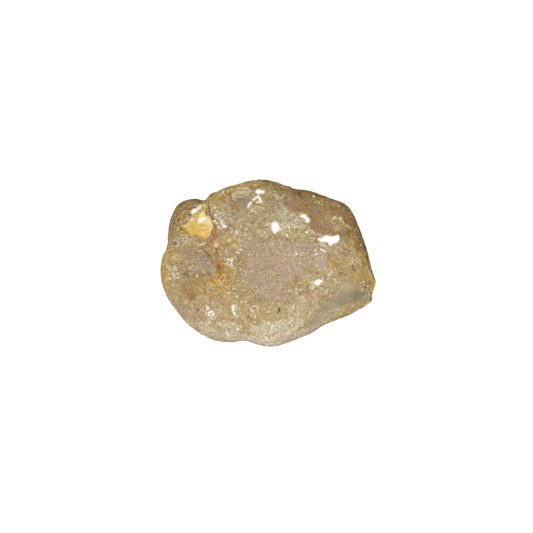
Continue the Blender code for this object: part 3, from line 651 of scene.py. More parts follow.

# Small pale touches on the crust, the white ones mostly painted glints: strokes as half width
# then points, dots as place and size.
touches = {
    # the white touches are mostly painted glints, small highlights, with some pale crust
    "white": {
        "colour": (255, 248, 234), "share": 1.0,
        "strokes": [
            (0.25, (-15.0, 11.9), (-14.2, 11.0)), (0.24, (-13.9, 10.1), (-12.9, 9.7)),
            (0.2, (-18.9, 5.05), (-17.6, 5.45)), (0.2, (-25.6, 4.6), (-25.0, 5.0)),
            (0.22, (-10.1, 0.7), (-9.7, 1.0)), (0.2, (-11.4, -0.1), (-11.2, -0.4)),
            (0.18, (-10.2, -0.2), (-9.9, -0.8)), (0.2, (-11.1, 1.0), (-10.7, 0.8)),
            (0.2, (-7.8, 3.8), (-7.2, 3.6)), (0.18, (-8.7, 3.1), (-8.1, 2.7)),
            (0.3, (-17.0, -11.7), (-16.8, -12.7)), (0.3, (-16.3, -13.8), (-15.5, -13.7)),
            (0.35, (-16.4, -14.4), (-15.9, -14.9)), (0.3, (-15.4, -14.2), (-15.1, -14.9)),
            (0.3, (-9.5, -12.0), (-9.9, -12.6), (-9.7, -13.5), (-9.3, -14.2), (-8.8, -14.8)),
            (0.2, (-4.9, -12.6), (-4.4, -13.3), (-3.8, -13.8)),
            (0.3, (-0.5, -21.0), (-0.1, -21.5)), (0.22, (6.2, -16.5), (6.6, -17.3)),
            (0.2, (-27.4, -4.5), (-27.0, -4.3)), (0.2, (-25.3, -4.4), (-24.8, -4.1)),
            (0.2, (-26.6, -3.0), (-26.2, -3.5)), (0.18, (-25.3, -2.9), (-24.9, -3.3)),
            (0.25, (-11.3, -19.7), (-11.0, -20.2)), (0.28, (14.9, 3.8), (16.1, 3.3)),
            (0.26, (-3.0, 17.0), (-2.5, 16.9)),
        ],
        "dots": [
            (-10.85, -0.8, 0.3), (-20.6, 14.6, 0.55), (-20.9, 14.0, 0.3), (-19.4, 15.4, 0.3),
            (-14.4, 13.3, 0.3), (-12.5, 19.8, 0.35), (-8.5, -9.55, 0.33), (-8.3, -18.6, 0.36),
            (5.4, 7.9, 0.34), (11.0, 8.55, 0.32), (12.9, 18.5, 0.3), (13.6, 2.35, 0.32),
            (13.4, 3.4, 0.28), (0.4, -17.1, 0.32), (1.1, -18.4, 0.3), (6.9, -16.2, 0.24),
            (-23.0, 5.9, 0.3), (-25.6, -3.2, 0.24), (-26.0, -1.5, 0.28), (-7.5, 5.0, 0.24),
            (27.2, -6.2, 0.2), (28.1, -6.5, 0.24), (26.9, -5.4, 0.26), (26.6, -7.4, 0.24),
            (28.5, -8.9, 0.24), (29.0, -8.0, 0.2), (8.1, 2.4, 0.28), (6.3, 2.3, 0.25),
            (-9.0, 1.45, 0.2), (15.4, -4.3, 0.22), (5.7, 7.3, 0.2), (3.9, 9.35, 0.22),
            (-4.3, 14.6, 0.2),
        ],
    },
    "cream": {
        "colour": (228, 212, 178), "share": 0.8,
        "strokes": [
            (0.22, (-15.7, 14.6), (-15.3, 13.3)),
            (0.18, (-10.0, 19.6), (-9.6, 18.8), (-9.6, 17.7)), (0.2, (-7.6, 19.7), (-6.0, 19.9)),
            (0.2, (-22.9, 11.8), (-22.1, 12.6)), (0.2, (-24.2, 11.7), (-23.9, 11.2)),
            (0.24, (-23.7, 13.7), (-23.2, 14.4)),
            (0.2, (-23.1, 7.0), (-22.3, 7.1), (-21.6, 6.7), (-20.9, 6.1)),
            (0.12, (-20.6, 5.7), (-18.9, 5.0)), (0.22, (-25.3, 6.1), (-24.8, 5.6)),
            (0.22, (-24.2, 8.4), (-23.9, 7.4)), (0.2, (-28.6, 0.4), (-28.5, -0.5)),
            (0.35, (-27.9, -1.2), (-27.4, -0.9), (-27.5, -2.0)),
            (0.3, (-26.7, -2.1), (-25.7, -1.2)),
            (0.32, (-27.2, -3.0), (-26.4, -3.3), (-25.9, -4.2)),
            (0.2, (-26.9, -4.9), (-26.3, -4.9)), (0.2, (-18.0, -2.4), (-17.5, -2.9)),
            (0.2, (-18.8, -7.4), (-18.3, -8.0)), (0.2, (-15.8, -7.1), (-15.2, -7.3)),
            (0.2, (-7.95, 6.7), (-7.8, 5.8)), (0.2, (-11.2, 0.3), (-11.4, -0.2)),
            (0.22, (-9.3, -1.4), (-9.0, -2.2), (-9.3, -3.1)), (0.16, (-9.5, -6.1), (-9.8, -7.7)),
            (0.16, (-12.6, -5.9), (-13.8, -6.4)), (0.18, (-5.4, 6.9), (-4.8, 6.5)),
            (0.18, (-7.8, 0.0), (-7.2, 0.3)), (0.25, (-16.8, -10.7), (-16.4, -11.3)),
            (0.2, (-16.4, -12.2), (-16.2, -13.1)), (0.28, (-15.7, -15.5), (-14.8, -15.8)),
            (0.2, (-14.6, -15.2), (-14.1, -15.7)), (0.22, (-13.9, -13.3), (-13.0, -13.2)),
            (0.25, (-17.4, -17.0), (-16.6, -17.5)), (0.3, (-18.5, -16.3), (-18.0, -17.2)),
            (0.2, (-7.4, -10.9), (-6.7, -11.0)),
            (0.24, (-4.2, -12.3), (-3.4, -12.0), (-2.7, -12.6), (-2.8, -13.2)),
            (0.2, (-3.7, -14.0), (-3.4, -15.0), (-3.7, -15.5)),
            (0.14, (-4.6, -14.2), (-4.3, -15.0)), (0.25, (-5.0, -17.1), (-4.2, -17.7)),
            (0.18, (-0.5, -13.7), (1.4, -13.6)),
            (0.22, (6.0, -12.9), (6.4, -13.8), (7.0, -14.2), (7.8, -14.1)),
            (0.22, (5.0, -17.5), (5.9, -18.3), (5.8, -18.9)), (0.2, (6.0, -15.4), (5.6, -16.2)),
            (0.3, (8.3, -8.6), (7.9, -7.2)), (0.3, (8.8, -7.6), (9.6, -7.6)),
            (0.22, (18.2, 12.0), (18.6, 12.8), (19.2, 12.7), (19.0, 12.2)),
            (0.2, (20.2, 12.5), (20.6, 11.8)), (0.2, (20.8, 13.3), (20.8, 12.2)),
            (0.2, (21.0, 11.6), (21.4, 11.0)), (0.2, (18.0, 11.4), (18.9, 11.0)),
            (0.24, (22.0, 10.4), (23.3, 9.7)), (0.18, (20.1, 5.9), (20.9, 4.8)),
            (0.12, (25.1, 2.0), (25.1, -1.0)), (0.3, (18.2, -2.4), (17.2, -3.4)),
            (0.3, (13.1, 6.9), (14.0, 6.4)), (0.2, (15.3, 1.8), (15.7, 1.3)),
            (0.2, (-8.7, -14.8), (-8.1, -15.1)),
        ],
        "dots": [
            (-14.9, 16.1, 0.28), (-11.1, 20.0, 0.32), (-3.2, 15.8, 0.28), (-3.4, 14.4, 0.24),
            (-13.2, -17.2, 0.36), (-15.4, -17.8, 0.28), (-14.6, -13.1, 0.22),
            (-12.8, -13.7, 0.22), (-11.6, -17.2, 0.45), (-9.2, -20.2, 0.25), (-6.0, -10.8, 0.28),
            (-3.1, -18.4, 0.35), (-1.6, -19.1, 0.35), (0.2, -19.9, 0.25), (2.4, -22.1, 0.35),
            (8.0, -15.9, 0.28), (7.8, -19.7, 0.25), (9.7, -18.7, 0.4), (2.1, -10.2, 0.25),
            (5.2, -12.0, 0.3), (9.4, 9.2, 0.32), (11.6, 9.3, 0.22), (5.3, 9.0, 0.28),
            (0.5, 10.1, 0.25), (-2.4, 10.2, 0.25), (5.6, 14.4, 0.28), (20.6, 3.5, 0.32),
            (23.5, 2.9, 0.3), (23.3, -1.4, 0.24), (18.4, -2.8, 0.24), (19.1, -1.8, 0.22),
            (28.4, -3.0, 0.3), (28.4, -2.3, 0.2), (13.4, 16.9, 0.26), (14.5, 16.8, 0.24),
            (4.4, 7.9, 0.24), (6.6, 8.4, 0.26), (7.6, 7.7, 0.22), (8.8, 8.0, 0.26),
            (9.9, 7.3, 0.22), (2.9, 7.4, 0.24), (12.2, 6.9, 0.24), (-0.6, 8.4, 0.22),
            (20.0, 15.9, 0.35), (19.5, 10.1, 0.22), (-21.7, -1.5, 0.4), (-19.7, 0.9, 0.22),
            (-19.0, 1.0, 0.2), (-19.7, -3.8, 0.35), (-9.3, -2.9, 0.25), (-11.8, 7.8, 0.3),
        ],
    },
    "pink": {
        "colour": (197, 176, 150), "share": 0.8,
        "strokes": [
            (0.1, (-24.4, -2.9), (-23.0, -1.1)), (0.1, (-23.7, -1.9), (-22.5, -0.4)),
            (0.1, (-22.7, -1.2), (-21.6, -0.3)), (0.22, (-9.3, 19.6), (-8.4, 19.4)),
            (0.2, (10.8, 3.6), (12.1, 3.6)), (0.2, (1.5, -12.6), (2.2, -13.1)),
            (0.22, (-26.0, -10.6), (-25.2, -11.6)), (0.2, (-24.1, -9.1), (-22.9, -9.2)),
            (0.2, (14.2, -12.5), (14.0, -13.2)), (0.16, (-0.8, 2.4), (0.0, 3.5), (0.3, 4.6)),
            (0.16, (1.4, 3.2), (1.8, 4.4)), (0.16, (-1.2, 5.1), (-0.6, 5.5)),
            (0.2, (1.4, 1.7), (2.0, 1.8)), (0.2, (12.3, 9.1), (13.1, 8.1), (13.8, 7.7)),
            (0.15, (20.0, 6.0), (20.5, 5.3), (20.9, 4.7)), (0.2, (14.5, 7.9), (15.0, 7.6)),
            (0.22, (14.4, -6.9), (15.1, -7.1)), (0.18, (18.5, 16.6), (19.5, 16.5)),
            (0.3, (-13.3, -20.0), (-12.5, -20.3)),
        ],
        "dots": [
            (-20.6, 0.9, 0.3), (-20.9, 2.6, 0.32), (-21.6, -3.2, 0.35), (9.0, 12.6, 0.35),
            (15.7, 11.5, 0.28), (16.9, 14.2, 0.22), (9.3, 4.8, 0.32), (5.0, 1.1, 0.4),
            (7.4, 2.2, 0.25), (12.6, 3.4, 0.28), (14.3, 1.5, 0.28), (2.9, 5.4, 0.32),
            (4.3, -0.8, 0.35), (-1.6, -0.9, 0.38), (-0.8, -1.5, 0.22), (-3.1, -2.0, 0.24),
            (0.0, -4.5, 0.35), (3.5, -7.2, 0.3), (6.6, 4.0, 0.28), (7.9, 3.2, 0.24),
            (4.2, 3.1, 0.3), (2.1, -3.0, 0.35), (5.6, -4.3, 0.28), (-2.8, -4.2, 0.3),
            (1.2, -6.4, 0.35), (-3.9, 3.2, 0.3), (8.4, -1.9, 0.32), (10.4, 1.0, 0.26),
            (26.2, 4.8, 0.3), (12.6, -11.7, 0.3), (4.2, -20.7, 0.32), (-22.9, 13.2, 0.28),
            (-23.6, 14.2, 0.3), (-22.2, 14.6, 0.25), (-24.0, 11.5, 0.3), (-25.0, 13.0, 0.25),
            (8.3, -8.9, 0.3), (17.9, 6.9, 0.25),
        ],
    },
    "orange": {
        "colour": (216, 166, 64), "share": 1.0,
        "strokes": [(0.32, (19.4, 9.4), (20.1, 9.5))],
        "dots": [],
    },
}

# Flat chips that throw the key light, their highlight also painted pale into the colour:
# outlines, ovals or short lines.
glints = {
    "roundWindow": {"outline": [(2.0, 8.2), (1.6, 8.5), (1.3, 8.8), (1.0, 9.5), (1.0, 10.2),
        (1.3, 11.0), (1.7, 11.4), (2.1, 11.6), (2.6, 11.4), (3.0, 10.9), (3.3, 10.2), (3.4, 9.4),
        (3.2, 8.7), (2.6, 8.6), (2.2, 8.2)]},
    "notchedChip": {"outline": [(9.2, 13.0), (9.5, 13.4), (9.9, 13.5), (10.4, 13.4), (10.9, 13.1),
        (11.2, 12.7), (11.6, 12.2), (11.8, 11.8), (11.7, 11.4), (11.2, 11.2), (10.8, 11.5),
        (10.7, 12.0), (10.3, 12.5), (9.9, 12.8), (9.6, 12.9)]},
    "longWedge": {"outline": [(14.1, 6.5), (14.3, 6.9), (15.0, 6.9), (15.5, 7.1), (16.0, 7.5),
        (16.5, 7.5), (17.0, 7.3), (18.0, 7.3), (18.8, 7.4), (19.3, 7.8), (19.8, 7.8), (20.1, 7.3),
        (20.0, 6.6), (19.8, 6.0), (19.3, 5.7), (18.8, 5.6), (18.2, 5.2), (17.8, 4.9), (17.4, 4.8),
        (17.1, 5.2), (16.9, 5.6), (16.3, 5.7), (15.6, 5.8), (14.8, 6.1), (14.2, 6.3)]},
    "smallWedge": {"outline": [(13.0, -5.5), (13.2, -5.1), (13.8, -4.9), (14.4, -4.7),
        (15.0, -4.9), (15.4, -4.9), (15.3, -5.2), (14.9, -5.7), (14.5, -6.3), (14.1, -6.6),
        (13.5, -6.2), (13.1, -5.8)]},
    "topChip": {"outline": [(-3.2, 19.7), (-3.2, 20.3), (-2.6, 20.4), (-1.9, 20.3), (-1.0, 20.1),
        (-0.9, 19.8), (-1.3, 19.3), (-1.6, 19.5), (-2.1, 19.3), (-2.4, 18.9), (-2.7, 19.3),
        (-3.1, 19.5)]},
    "fork": {"line": [(-3.9, 17.5), (-3.5, 17.9), (-3.0, 18.4), (-2.6, 18.5), (-2.2, 18.1),
        (-2.0, 17.4), (-1.9, 16.8)], "half": 0.22},
    "topBead": {"line": [(-5.4, 15.5), (-5.1, 16.2), (-4.7, 16.8)], "half": 0.2},
    "crownBead": {"oval": (-12.8, 11.5, 0.35, 0.4)},
    "crownStreak": {"line": [(-12.4, 10.7), (-12.1, 10.2), (-11.7, 10.1)], "half": 0.3},
    "seamBead": {"oval": (-8.6, 8.45, 0.33, 0.4)},
    "lipChip": {"outline": [(-21.0, 13.9), (-20.9, 14.6), (-20.4, 15.0), (-19.9, 14.8),
        (-19.9, 14.3), (-20.6, 14.0)]},
}

relief = {
    "crinkle": [(1.6, 0.14), (0.8, 0.12)],  # wavelength and height of the skin's crinkles
    "waver": [(2.2, 0.8), (1.0, 0.48)],  # wavelength and reach of the unevenness of soft edges
    "waverFrom": 0.35,  # edges no softer than this stay even
    "touchSpread": 0.02,  # widens the touches, too small for the stone's points to hold
    "glintEdge": 0.9,  # how far round a flat chip the stone eases down to it
    "glintCut": 0.35,  # how much of the stone standing proud of a flat chip is cut away
    "glintClear": 0.25,  # how far round a flat chip the skin smooths out
}

# How brightly a white surface shows: from all round, and from the key light when it faces
# it. Painted light in the colour evens out the faint sides, only down to the dimmest level.
light = {"around": np.array([0.50, 0.46, 0.37]), "key": 1.13, "dimmest": 0.30, "even": 0.85}

finishes = ("relief", "rough", "frost", "crust", "grit", "grain")


def linear(colour):
    c = np.array(colour) / 255.0
    return np.where(c <= 0.04045, c / 12.92, ((c + 0.055) / 1.055) ** 2.4)


def lightLevel(facing):
    # how brightly a white surface shows when it faces that way
    toKey = keyPlace / np.linalg.norm(keyPlace)
    turned = np.maximum(facing @ toKey, light["dimmest"])
    full = light["around"] + light["key"]
    return full * ((light["around"] + light["key"] * turned[:, None]) / full) ** light["even"]


fullLight = lightLevel(np.array([[0.0, 0.0, 1.0]]))[0]  # on the middle of the broad face

rindAndShade = {
    # dark: rind colour deepened by painted shade on the far edges
    "darkAndShaded": (157, 129, 68),  # along the top and right edges
    # light: rind colour raised by painted light on the near edges
    "light": (188, 164, 124),  # along the left and bottom edges
    "farWay": (0.5, 0.75),  # how much facing right and facing up count towards the far side
    "farFade": (-0.35, 0.25),  # where the light edges give way to the dark ones
    "turnFade": (0.78, 0.25),  # where the broad face gives way to the edges
    "rough": 0.2,  # what the edges add to the skin's finish, and take from its crust
    "crustLoss": 0.4,
    "farGrit": 0.85,
    "farGrain": 0.8,
    "backHoney": (166, 137, 92),
    "backMauve": (160, 140, 114),
    "backWave": 9.0,
    "backFade": (-0.25, 0.25),
}

# The thin dark line of painted shade where the stone turns out of sight.
rimShadeLine = {
    "colour": (78, 50, 20),
    "reach": (0.23, 0.03),  # how far turned away, where the line starts and where it is full
    "farFade": (-0.6, 0.35),
    "nearSpare": 0.16,  # how much further the left and bottom edges turn before it starts
    "proudSpare": 0.3,  # the same for stone high above the rim, so a steep side stays light
    "proudRise": (0.8, 2.4),  # how far above the rim that begins, and is full
}


def farness(facing, fade):
    # 1 on what faces the far and right-hand sides, 0 on what faces the near and left ones
    across, up = rindAndShade["farWay"]
    return smoothStep(*fade, up * facing[:, 1] + across * facing[:, 0])


def rindAndShadeColour(points, normals, front):
    # the weathered outside: darker towards the far and right-hand edges, partly painted shade,
    # and lighter towards the left and bottom ones, partly painted light
    far = farness(normals, rindAndShade["farFade"])[:, None]
    edge = linear(rindAndShade["light"]) + far * (linear(rindAndShade["darkAndShaded"]) - linear(rindAndShade["light"]))
    turned = smoothStep(*rindAndShade["turnFade"], normals[:, 2])[:, None]
    colour = linear(skin["colour"]) + turned * (edge - linear(skin["colour"]))
    clouds = waves(points, rindAndShade["backWave"], waveShifts["backPatch"])
    patch = smoothStep(*rindAndShade["backFade"], clouds)[:, None]
    back = linear(rindAndShade["backHoney"]) * (1.0 - patch) + linear(rindAndShade["backMauve"]) * patch
    return colour + (1.0 - front[:, None]) * (back - colour), turned[:, 0], far[:, 0]


def rimShadeTurn(points, facing, front):
    # how far the stone still faces outwards; the painted shade line lies where it hardly does
    far = farness(facing, rimShadeLine["farFade"])
    proud = smoothStep(*rimShadeLine["proudRise"], points[:, 2] - stone["rimLean"] * points[:, 1])
    spare = rimShadeLine["nearSpare"] * (1.0 - far)
    return facing[:, 2] + (1.0 - front) + spare + rimShadeLine["proudSpare"] * proud


def layMarks(points, normals, place, front):
    # the skin's colour and finish at each point
    shaken = place.copy()
    for length, reach in relief["waver"]:
        across = waves(points, length, waveShifts["waverAcross"])
        up = waves(points, length, waveShifts["waverUp"])
        shaken += reach * np.stack([across, up], axis=1)
    # rind colour, with painted shade on the far edges and painted light on the near ones
    colour, turned, far = rindAndShadeColour(points, normals, front)
    finish = {key: np.full(len(points), skin[key]) for key in finishes}
    finish["rough"] += rindAndShade["rough"] * turned
    finish["crust"] *= 1.0 - rindAndShade["crustLoss"] * turned
    finish["grit"] += rindAndShade["farGrit"] * turned * far
    finish["grain"] += rindAndShade["farGrain"] * turned * far
    for mark in marks.values():
        seen = shaken if mark["soft"] > relief["waverFrom"] else place
        mask = front * markMask(seen, mark)
        colour += mask[:, None] * (linear(mark["colour"]) - colour)
        for key in finishes:
            if key in mark:
                finish[key] += mask * (mark[key] - finish[key])
    return colour, finish


def layTouches(place, front):
    # how far inside a touch each point is, in millimetres, below zero outside
    depths = {}
    for name, touch in touches.items():
        depth = np.full(len(place), -1.0)
        for half, *line in touch["strokes"]:
            depth = np.maximum(depth, half - lineDistance(place, line))
        for x, y, size in touch["dots"]:
            depth = np.maximum(depth, size - np.linalg.norm(place - (x, y), axis=1))
        depth += relief["touchSpread"]
        depths[name] = np.maximum(depth, -1.0) * front - (1.0 - front)
    return depths


def cutGlints(points, place, front, finish):
    # flattens the stone under each glint; gives how far inside one each point is, and
    # which way the chip there faces
    glass = np.full(len(points), -1.0)
    flatFacing = np.zeros((len(points), 3))
    for glint in glints.values():
        depth = markDepth(place, glint)
        glass = np.maximum(glass, np.where(front > 0.5, depth, -1.0))
        mask = front * smoothStep(-relief["glintEdge"], 0.0, depth)
        centre = points[front * depth > 0.0].mean(axis=0)
        facing = glintFacing(centre[:2], centre[2])
        flat = centre[2] - (points[:, :2] - centre[:2]) @ facing[:2] / facing[2]
        points[:, 2] += relief["glintCut"] * mask * (flat - points[:, 2])
        flatFacing[depth > -relief["glintEdge"]] = facing
        for key in ("relief", "frost", "crust"):
            finish[key] *= 1.0 - smoothStep(-relief["glintClear"], 0.0, depth) * front
    return glass, flatFacing


def blankDirections(obj):
    # unit directions from the middle to each point
    co = np.empty(len(obj.data.vertices) * 3)
    obj.data.vertices.foreach_get("co", co)
    co = co.reshape(-1, 3)
    return co / np.linalg.norm(co, axis=1, keepdims=True)


def evenOut(directions):
    # draws the points in towards the middle of the broad face, where they would lie thin
    across = np.hypot(directions[:, 0], directions[:, 1])
    turned = np.arctan2(across, directions[:, 2]) / (0.5 * math.pi)
    drawn = turned * (1.0 - stone["drawIn"] * (1.0 - turned**2))
    wanted = np.where(turned < 1.0, drawn, turned) * (0.5 * math.pi)
    share = np.sin(wanted) / np.maximum(across, 1e-9)
    return np.stack([directions[:, 0] * share, directions[:, 1] * share, np.cos(wanted)], axis=1)


def makeBlank():
    # a finely divided ball, finer on the side that becomes the broad face
    bpy.ops.object.select_all(action="DESELECT")
    bpy.ops.mesh.primitive_cube_add(size=2.0, location=(0.0, 0.0, 0.0))
    obj = bpy.context.object
    obj.name = "agateStone"
    bpy.ops.object.mode_set(mode="EDIT")
    bpy.ops.mesh.select_all(action="SELECT")
    bpy.ops.mesh.subdivide(number_cuts=stone["cuts"])
    bpy.ops.object.mode_set(mode="OBJECT")
    co = np.empty(len(obj.data.vertices) * 3)
    obj.data.vertices.foreach_get("co", co)
    obj.data.vertices.foreach_set("co", np.tan(co * math.pi / 4.0))
    setPoints(obj, blankDirections(obj))
    frontFaces = [polygon.center.z > stone["fineFrom"] for polygon in obj.data.polygons]
    bpy.ops.object.mode_set(mode="EDIT")
    bpy.ops.mesh.select_mode(type="FACE")
    bpy.ops.mesh.select_all(action="DESELECT")
    bpy.ops.object.mode_set(mode="OBJECT")
    obj.data.polygons.foreach_set("select", frontFaces)
    bpy.ops.object.mode_set(mode="EDIT")
    bpy.ops.mesh.subdivide(number_cuts=1)
    bpy.ops.object.mode_set(mode="OBJECT")
    setPoints(obj, evenOut(blankDirections(obj)))
    return obj


def setPoints(obj, points):
    obj.data.vertices.foreach_set("co", np.ascontiguousarray(points, dtype=np.float32).ravel())
    obj.data.update()


def facings(obj):
    # the way the surface faces at each point
    facing = np.empty(len(obj.data.vertices) * 3, dtype=np.float32)
    obj.data.vertex_normals.foreach_get("vector", facing)
    return facing.reshape(-1, 3)


def addColour(obj, name, colour):
    layer = obj.data.color_attributes.new(name=name, type="FLOAT_COLOR", domain="POINT")
    values = np.ones((len(colour), 4))
    values[:, :3] = colour
    layer.data.foreach_set("color", values.ravel())


def addValue(obj, name, values):
    layer = obj.data.attributes.new(name=name, type="FLOAT", domain="POINT")
    layer.data.foreach_set("value", np.ascontiguousarray(values, dtype=np.float32))


def carveStone():
    obj = makeBlank()
    directions = blankDirections(obj)
    points, normals = broadForm(directions)
    front = smoothStep(*stone["markFade"], directions[:, 2])
    colour, finish = layMarks(points, normals, seenPlace(points), front)
    # how the broad form takes the light, before its crinkles
    setPoints(obj, points)
    facing = facings(obj)
    # where the painted shade line at the rim lies
    finish["turn"] = rimShadeTurn(points, facing, front)
    # crinkles and flat chips
    height = sum(rise * waves(points, length, waveShifts["crinkle"])
                 for length, rise in relief["crinkle"])
    points += (finish["relief"] * height)[:, None] * normals
    place = seenPlace(points)
    finish["glass"], flatFacing = cutGlints(points, place, front, finish)
    finish.update(layTouches(place, front))
    setPoints(obj, faceToWorld(points) * mm)
    # what the material reads
    addColour(obj, "tint", colour * (clearing / fullLight))
    # painted light: brightens the colour where the stone faces away from the key light, evening
    # out its shade
    addColour(obj, "paintedLight", fullLight / lightLevel(facing))
    addColour(obj, "flatFacing", faceToWorld(flatFacing) - face["middle"])
    for key, values in finish.items():
        addValue(obj, key, values)
    standOnFoot()
    return obj


def standOnFoot():
    # the underside is cut off level where the solid's foot is
    bpy.ops.object.mode_set(mode="EDIT")
    bpy.ops.mesh.select_all(action="SELECT")
    bpy.ops.mesh.bisect(plane_co=(0.0, 0.0, 0.0), plane_no=(0.0, 0.0, 1.0), use_fill=True,
                        clear_inner=True, threshold=0.001 * mm)
    bpy.ops.mesh.select_all(action="SELECT")
    bpy.ops.mesh.normals_make_consistent(inside=False)
    bpy.ops.mesh.select_all(action="DESELECT")
    bpy.ops.object.mode_set(mode="OBJECT")


# Wavelength in millimetres, detail, roughness and distortion of each pattern in the skin.
patterns = {
    "grain": (0.42, 2.0, 0.6, 0.0),
    "mottle": (1.7, 1.0, 0.5, 0.5),
    "crust": (0.8, 3.0, 0.6, 0.7),
    "curl": (0.55, 1.5, 0.5, 1.6),
    "speck": (0.55, 1.0, 0.6, 0.6),
    "cluster": (4.5, 1.0, 0.55, 0.0),
    "grit": (0.7, 2.0, 0.6, 0.3),
    "edge": (0.6, 1.0, 0.55, 0.0),
    "chip": (0.8, 2.5, 0.65, 0.0),
}

# A fade gives the two levels of a pattern between which its mask goes from 0 to 1. A pale
# is how many times paler than the stone under it something is, and sizes are millimetres.
skinTexture = {
    "castWaves": [(3.5, 0.8), (1.5, 0.75), (0.7, 0.4)],  # wavelength and share of the clouds
    "castNoise": (1.0, 0.5, 0.3),
    "castFade": (0.38, 0.62),
    "honeyCast": (0.985, 1.0, 0.87, 1.0),
    "mauveCast": (1.02, 0.985, 1.075, 1.0),
    "shadeFade": (0.3, 0.7),
    "grainShade": (0.67, 1.33),
    "mottleShade": (0.90, 1.10),
    # the crust's hollows get painted shade, its ridges pale crust
    "hollowFade": (0.47, 0.36),
    "paintedHollowShade": (0.87, 0.87, 0.7395, 1.0),
    "ridgeFade": (0.56, 0.66),
    "ridgeShare": 0.3,
    "ridgePale": (2.6, 3.1, 3.9),
    "curlFade": (0.05, 0.0),
    "curlShare": 0.5,
    "curlPale": (2.5, 2.8, 3.3),
    "speckFade": (0.6, 0.68),
    "clusterFade": (0.4, 0.62),
    "speckPale": (3.0, 3.7, 5.2),
    "beadGap": 0.75,
    "beadFade": (0.30, 0.12),
    "beadKept": (0.3, 0.9),
    "beadPale": (2.5, 2.9, 3.2),
    "palest": (0.88, 0.82, 0.68),
    "gritFade": (0.47, 0.37),
    "gritColour": (0.40, 0.32, 0.18, 1.0),
    "edgeReach": 0.7,  # how ragged the touches and the chips' halos are
    "touchSoft": 0.18,
    "touchWorn": (0.38, 0.55, 0.25, 1.0),  # levels of the grain, and what they leave of a touch
    "touchLight": 1.2,  # makes up for what the grain and the ragged edges take
    "touchRoughness": 0.25,
    "ringReach": (0.35, 0.25),  # how far out the darker ring round a touch is, and how soft
    "ringColour": (0.90, 0.87, 0.80, 1.0),
    # the halo round each chip is painted highlight
    "haloReach": 0.25,
    "haloShare": 0.35,
    "haloHighlightColour": (0.50, 0.44, 0.34, 1.0),
    "chipReach": (-0.26, 0.14),
    "chipSoft": 0.3,
    # the chips' own pale colour is painted highlight, over their real reflection
    "chipHighlightTint": (0.48, 0.465, 0.43),
    "chipShade": (0.86, 1.08),
    "chipRoughness": 0.45,
    "facetSize": 0.42,
    "facetTilt": 0.45,
    "crustHeight": 0.11,
    "curlHeight": 0.10,
    "grainHeight": 0.06,
}

# How the waxy stone bends and spreads light, by the shader's own names.
waxyBody = {
    "IOR": 1.54,
    "Subsurface Weight": 0.1,
    "Subsurface Radius": (1.0, 0.85, 0.7),
    "Subsurface Scale": 0.8 * mm,
}


def addNode(tree, kind, sockets=(), **settings):
    # a shader node with its settings, and its sockets given a value or linked
    node = tree.nodes.new("ShaderNode" + kind)
    for name, value in settings.items():
        setattr(node, name, value)
    for name, value in dict(sockets).items():
        if isinstance(value, bpy.types.NodeSocket):
            tree.links.new(value, node.inputs[name])
        else:
            node.inputs[name].default_value = value
    return node


def compute(tree, operation, *values):
    return addNode(tree, "Math", enumerate(values), operation=operation).outputs["Value"]


def computeVector(tree, operation, *values):
    return addNode(tree, "VectorMath", enumerate(values), operation=operation).outputs["Vector"]


def dotProduct(tree, *values):
    node = addNode(tree, "VectorMath", enumerate(values), operation="DOT_PRODUCT")
    return node.outputs["Value"]


def scaled(tree, colour, scale):
    node = addNode(tree, "VectorMath", {0: colour, "Scale": scale}, operation="SCALE")
    return node.outputs["Vector"]


def times(tree, one, other):
    return compute(tree, "MULTIPLY", one, other)


def spread(tree, value, low, high, toLow=0.0, toHigh=1.0):
    return addNode(tree, "MapRange", {
        "Value": value, "From Min": low, "From Max": high, "To Min": toLow,
        "To Max": toHigh}, interpolation_type="SMOOTHSTEP").outputs["Result"]


def blend(tree, share, one, other, kind="MIX"):
    return addNode(tree, "Mix", {0: share, 6: one, 7: other}, data_type="RGBA",
                   blend_type=kind).outputs[2]


def read(tree, name, output="Fac"):
    return addNode(tree, "Attribute", attribute_name=name).outputs[output]


def addNoise(tree, place, wavelength, detail, roughness, distortion):
    return addNode(tree, "TexNoise", {
        "Vector": place, "Scale": 1.0 / (wavelength * mm), "Detail": detail,
        "Roughness": roughness, "Distortion": distortion}).outputs["Fac"]


def addCells(tree, place, gap):
    return addNode(tree, "TexVoronoi", {"Vector": place, "Scale": 1.0 / (gap * mm)}).outputs


def ragged(tree, depth, jag, soft):
    # 1 inside and 0 outside an edge drawn with small jags
    return spread(tree, compute(tree, "ADD", depth, jag), -soft, soft)


def paler(tree, tint, name):
    # the colour of the pale crust and specks on stone of this tint
    pale = computeVector(tree, "MULTIPLY", tint, skinTexture[name])
    return computeVector(tree, "MINIMUM", pale, skinTexture["palest"])


def cloudSkin(tree, place, colour, grain, mottle):
    # honey and mauve clouds, large and small, then fine grain and broader mottling
    grained = read(tree, "grain")
    for wave, share in skinTexture["castWaves"]:
        cloud = addNoise(tree, place, wave, *skinTexture["castNoise"])
        cast = blend(tree, spread(tree, cloud, *skinTexture["castFade"]),
                     skinTexture["mauveCast"], skinTexture["honeyCast"])
        colour = blend(tree, times(tree, grained, share), colour, cast, "MULTIPLY")
    for layer, name in ((grain, "grainShade"), (mottle, "mottleShade")):
        low, high = skinTexture[name]
        shade = spread(tree, layer, *skinTexture["shadeFade"], low - 1.0, high - 1.0)
        colour = scaled(tree, colour, compute(tree, "ADD", times(tree, shade, grained), 1.0))
    return colour


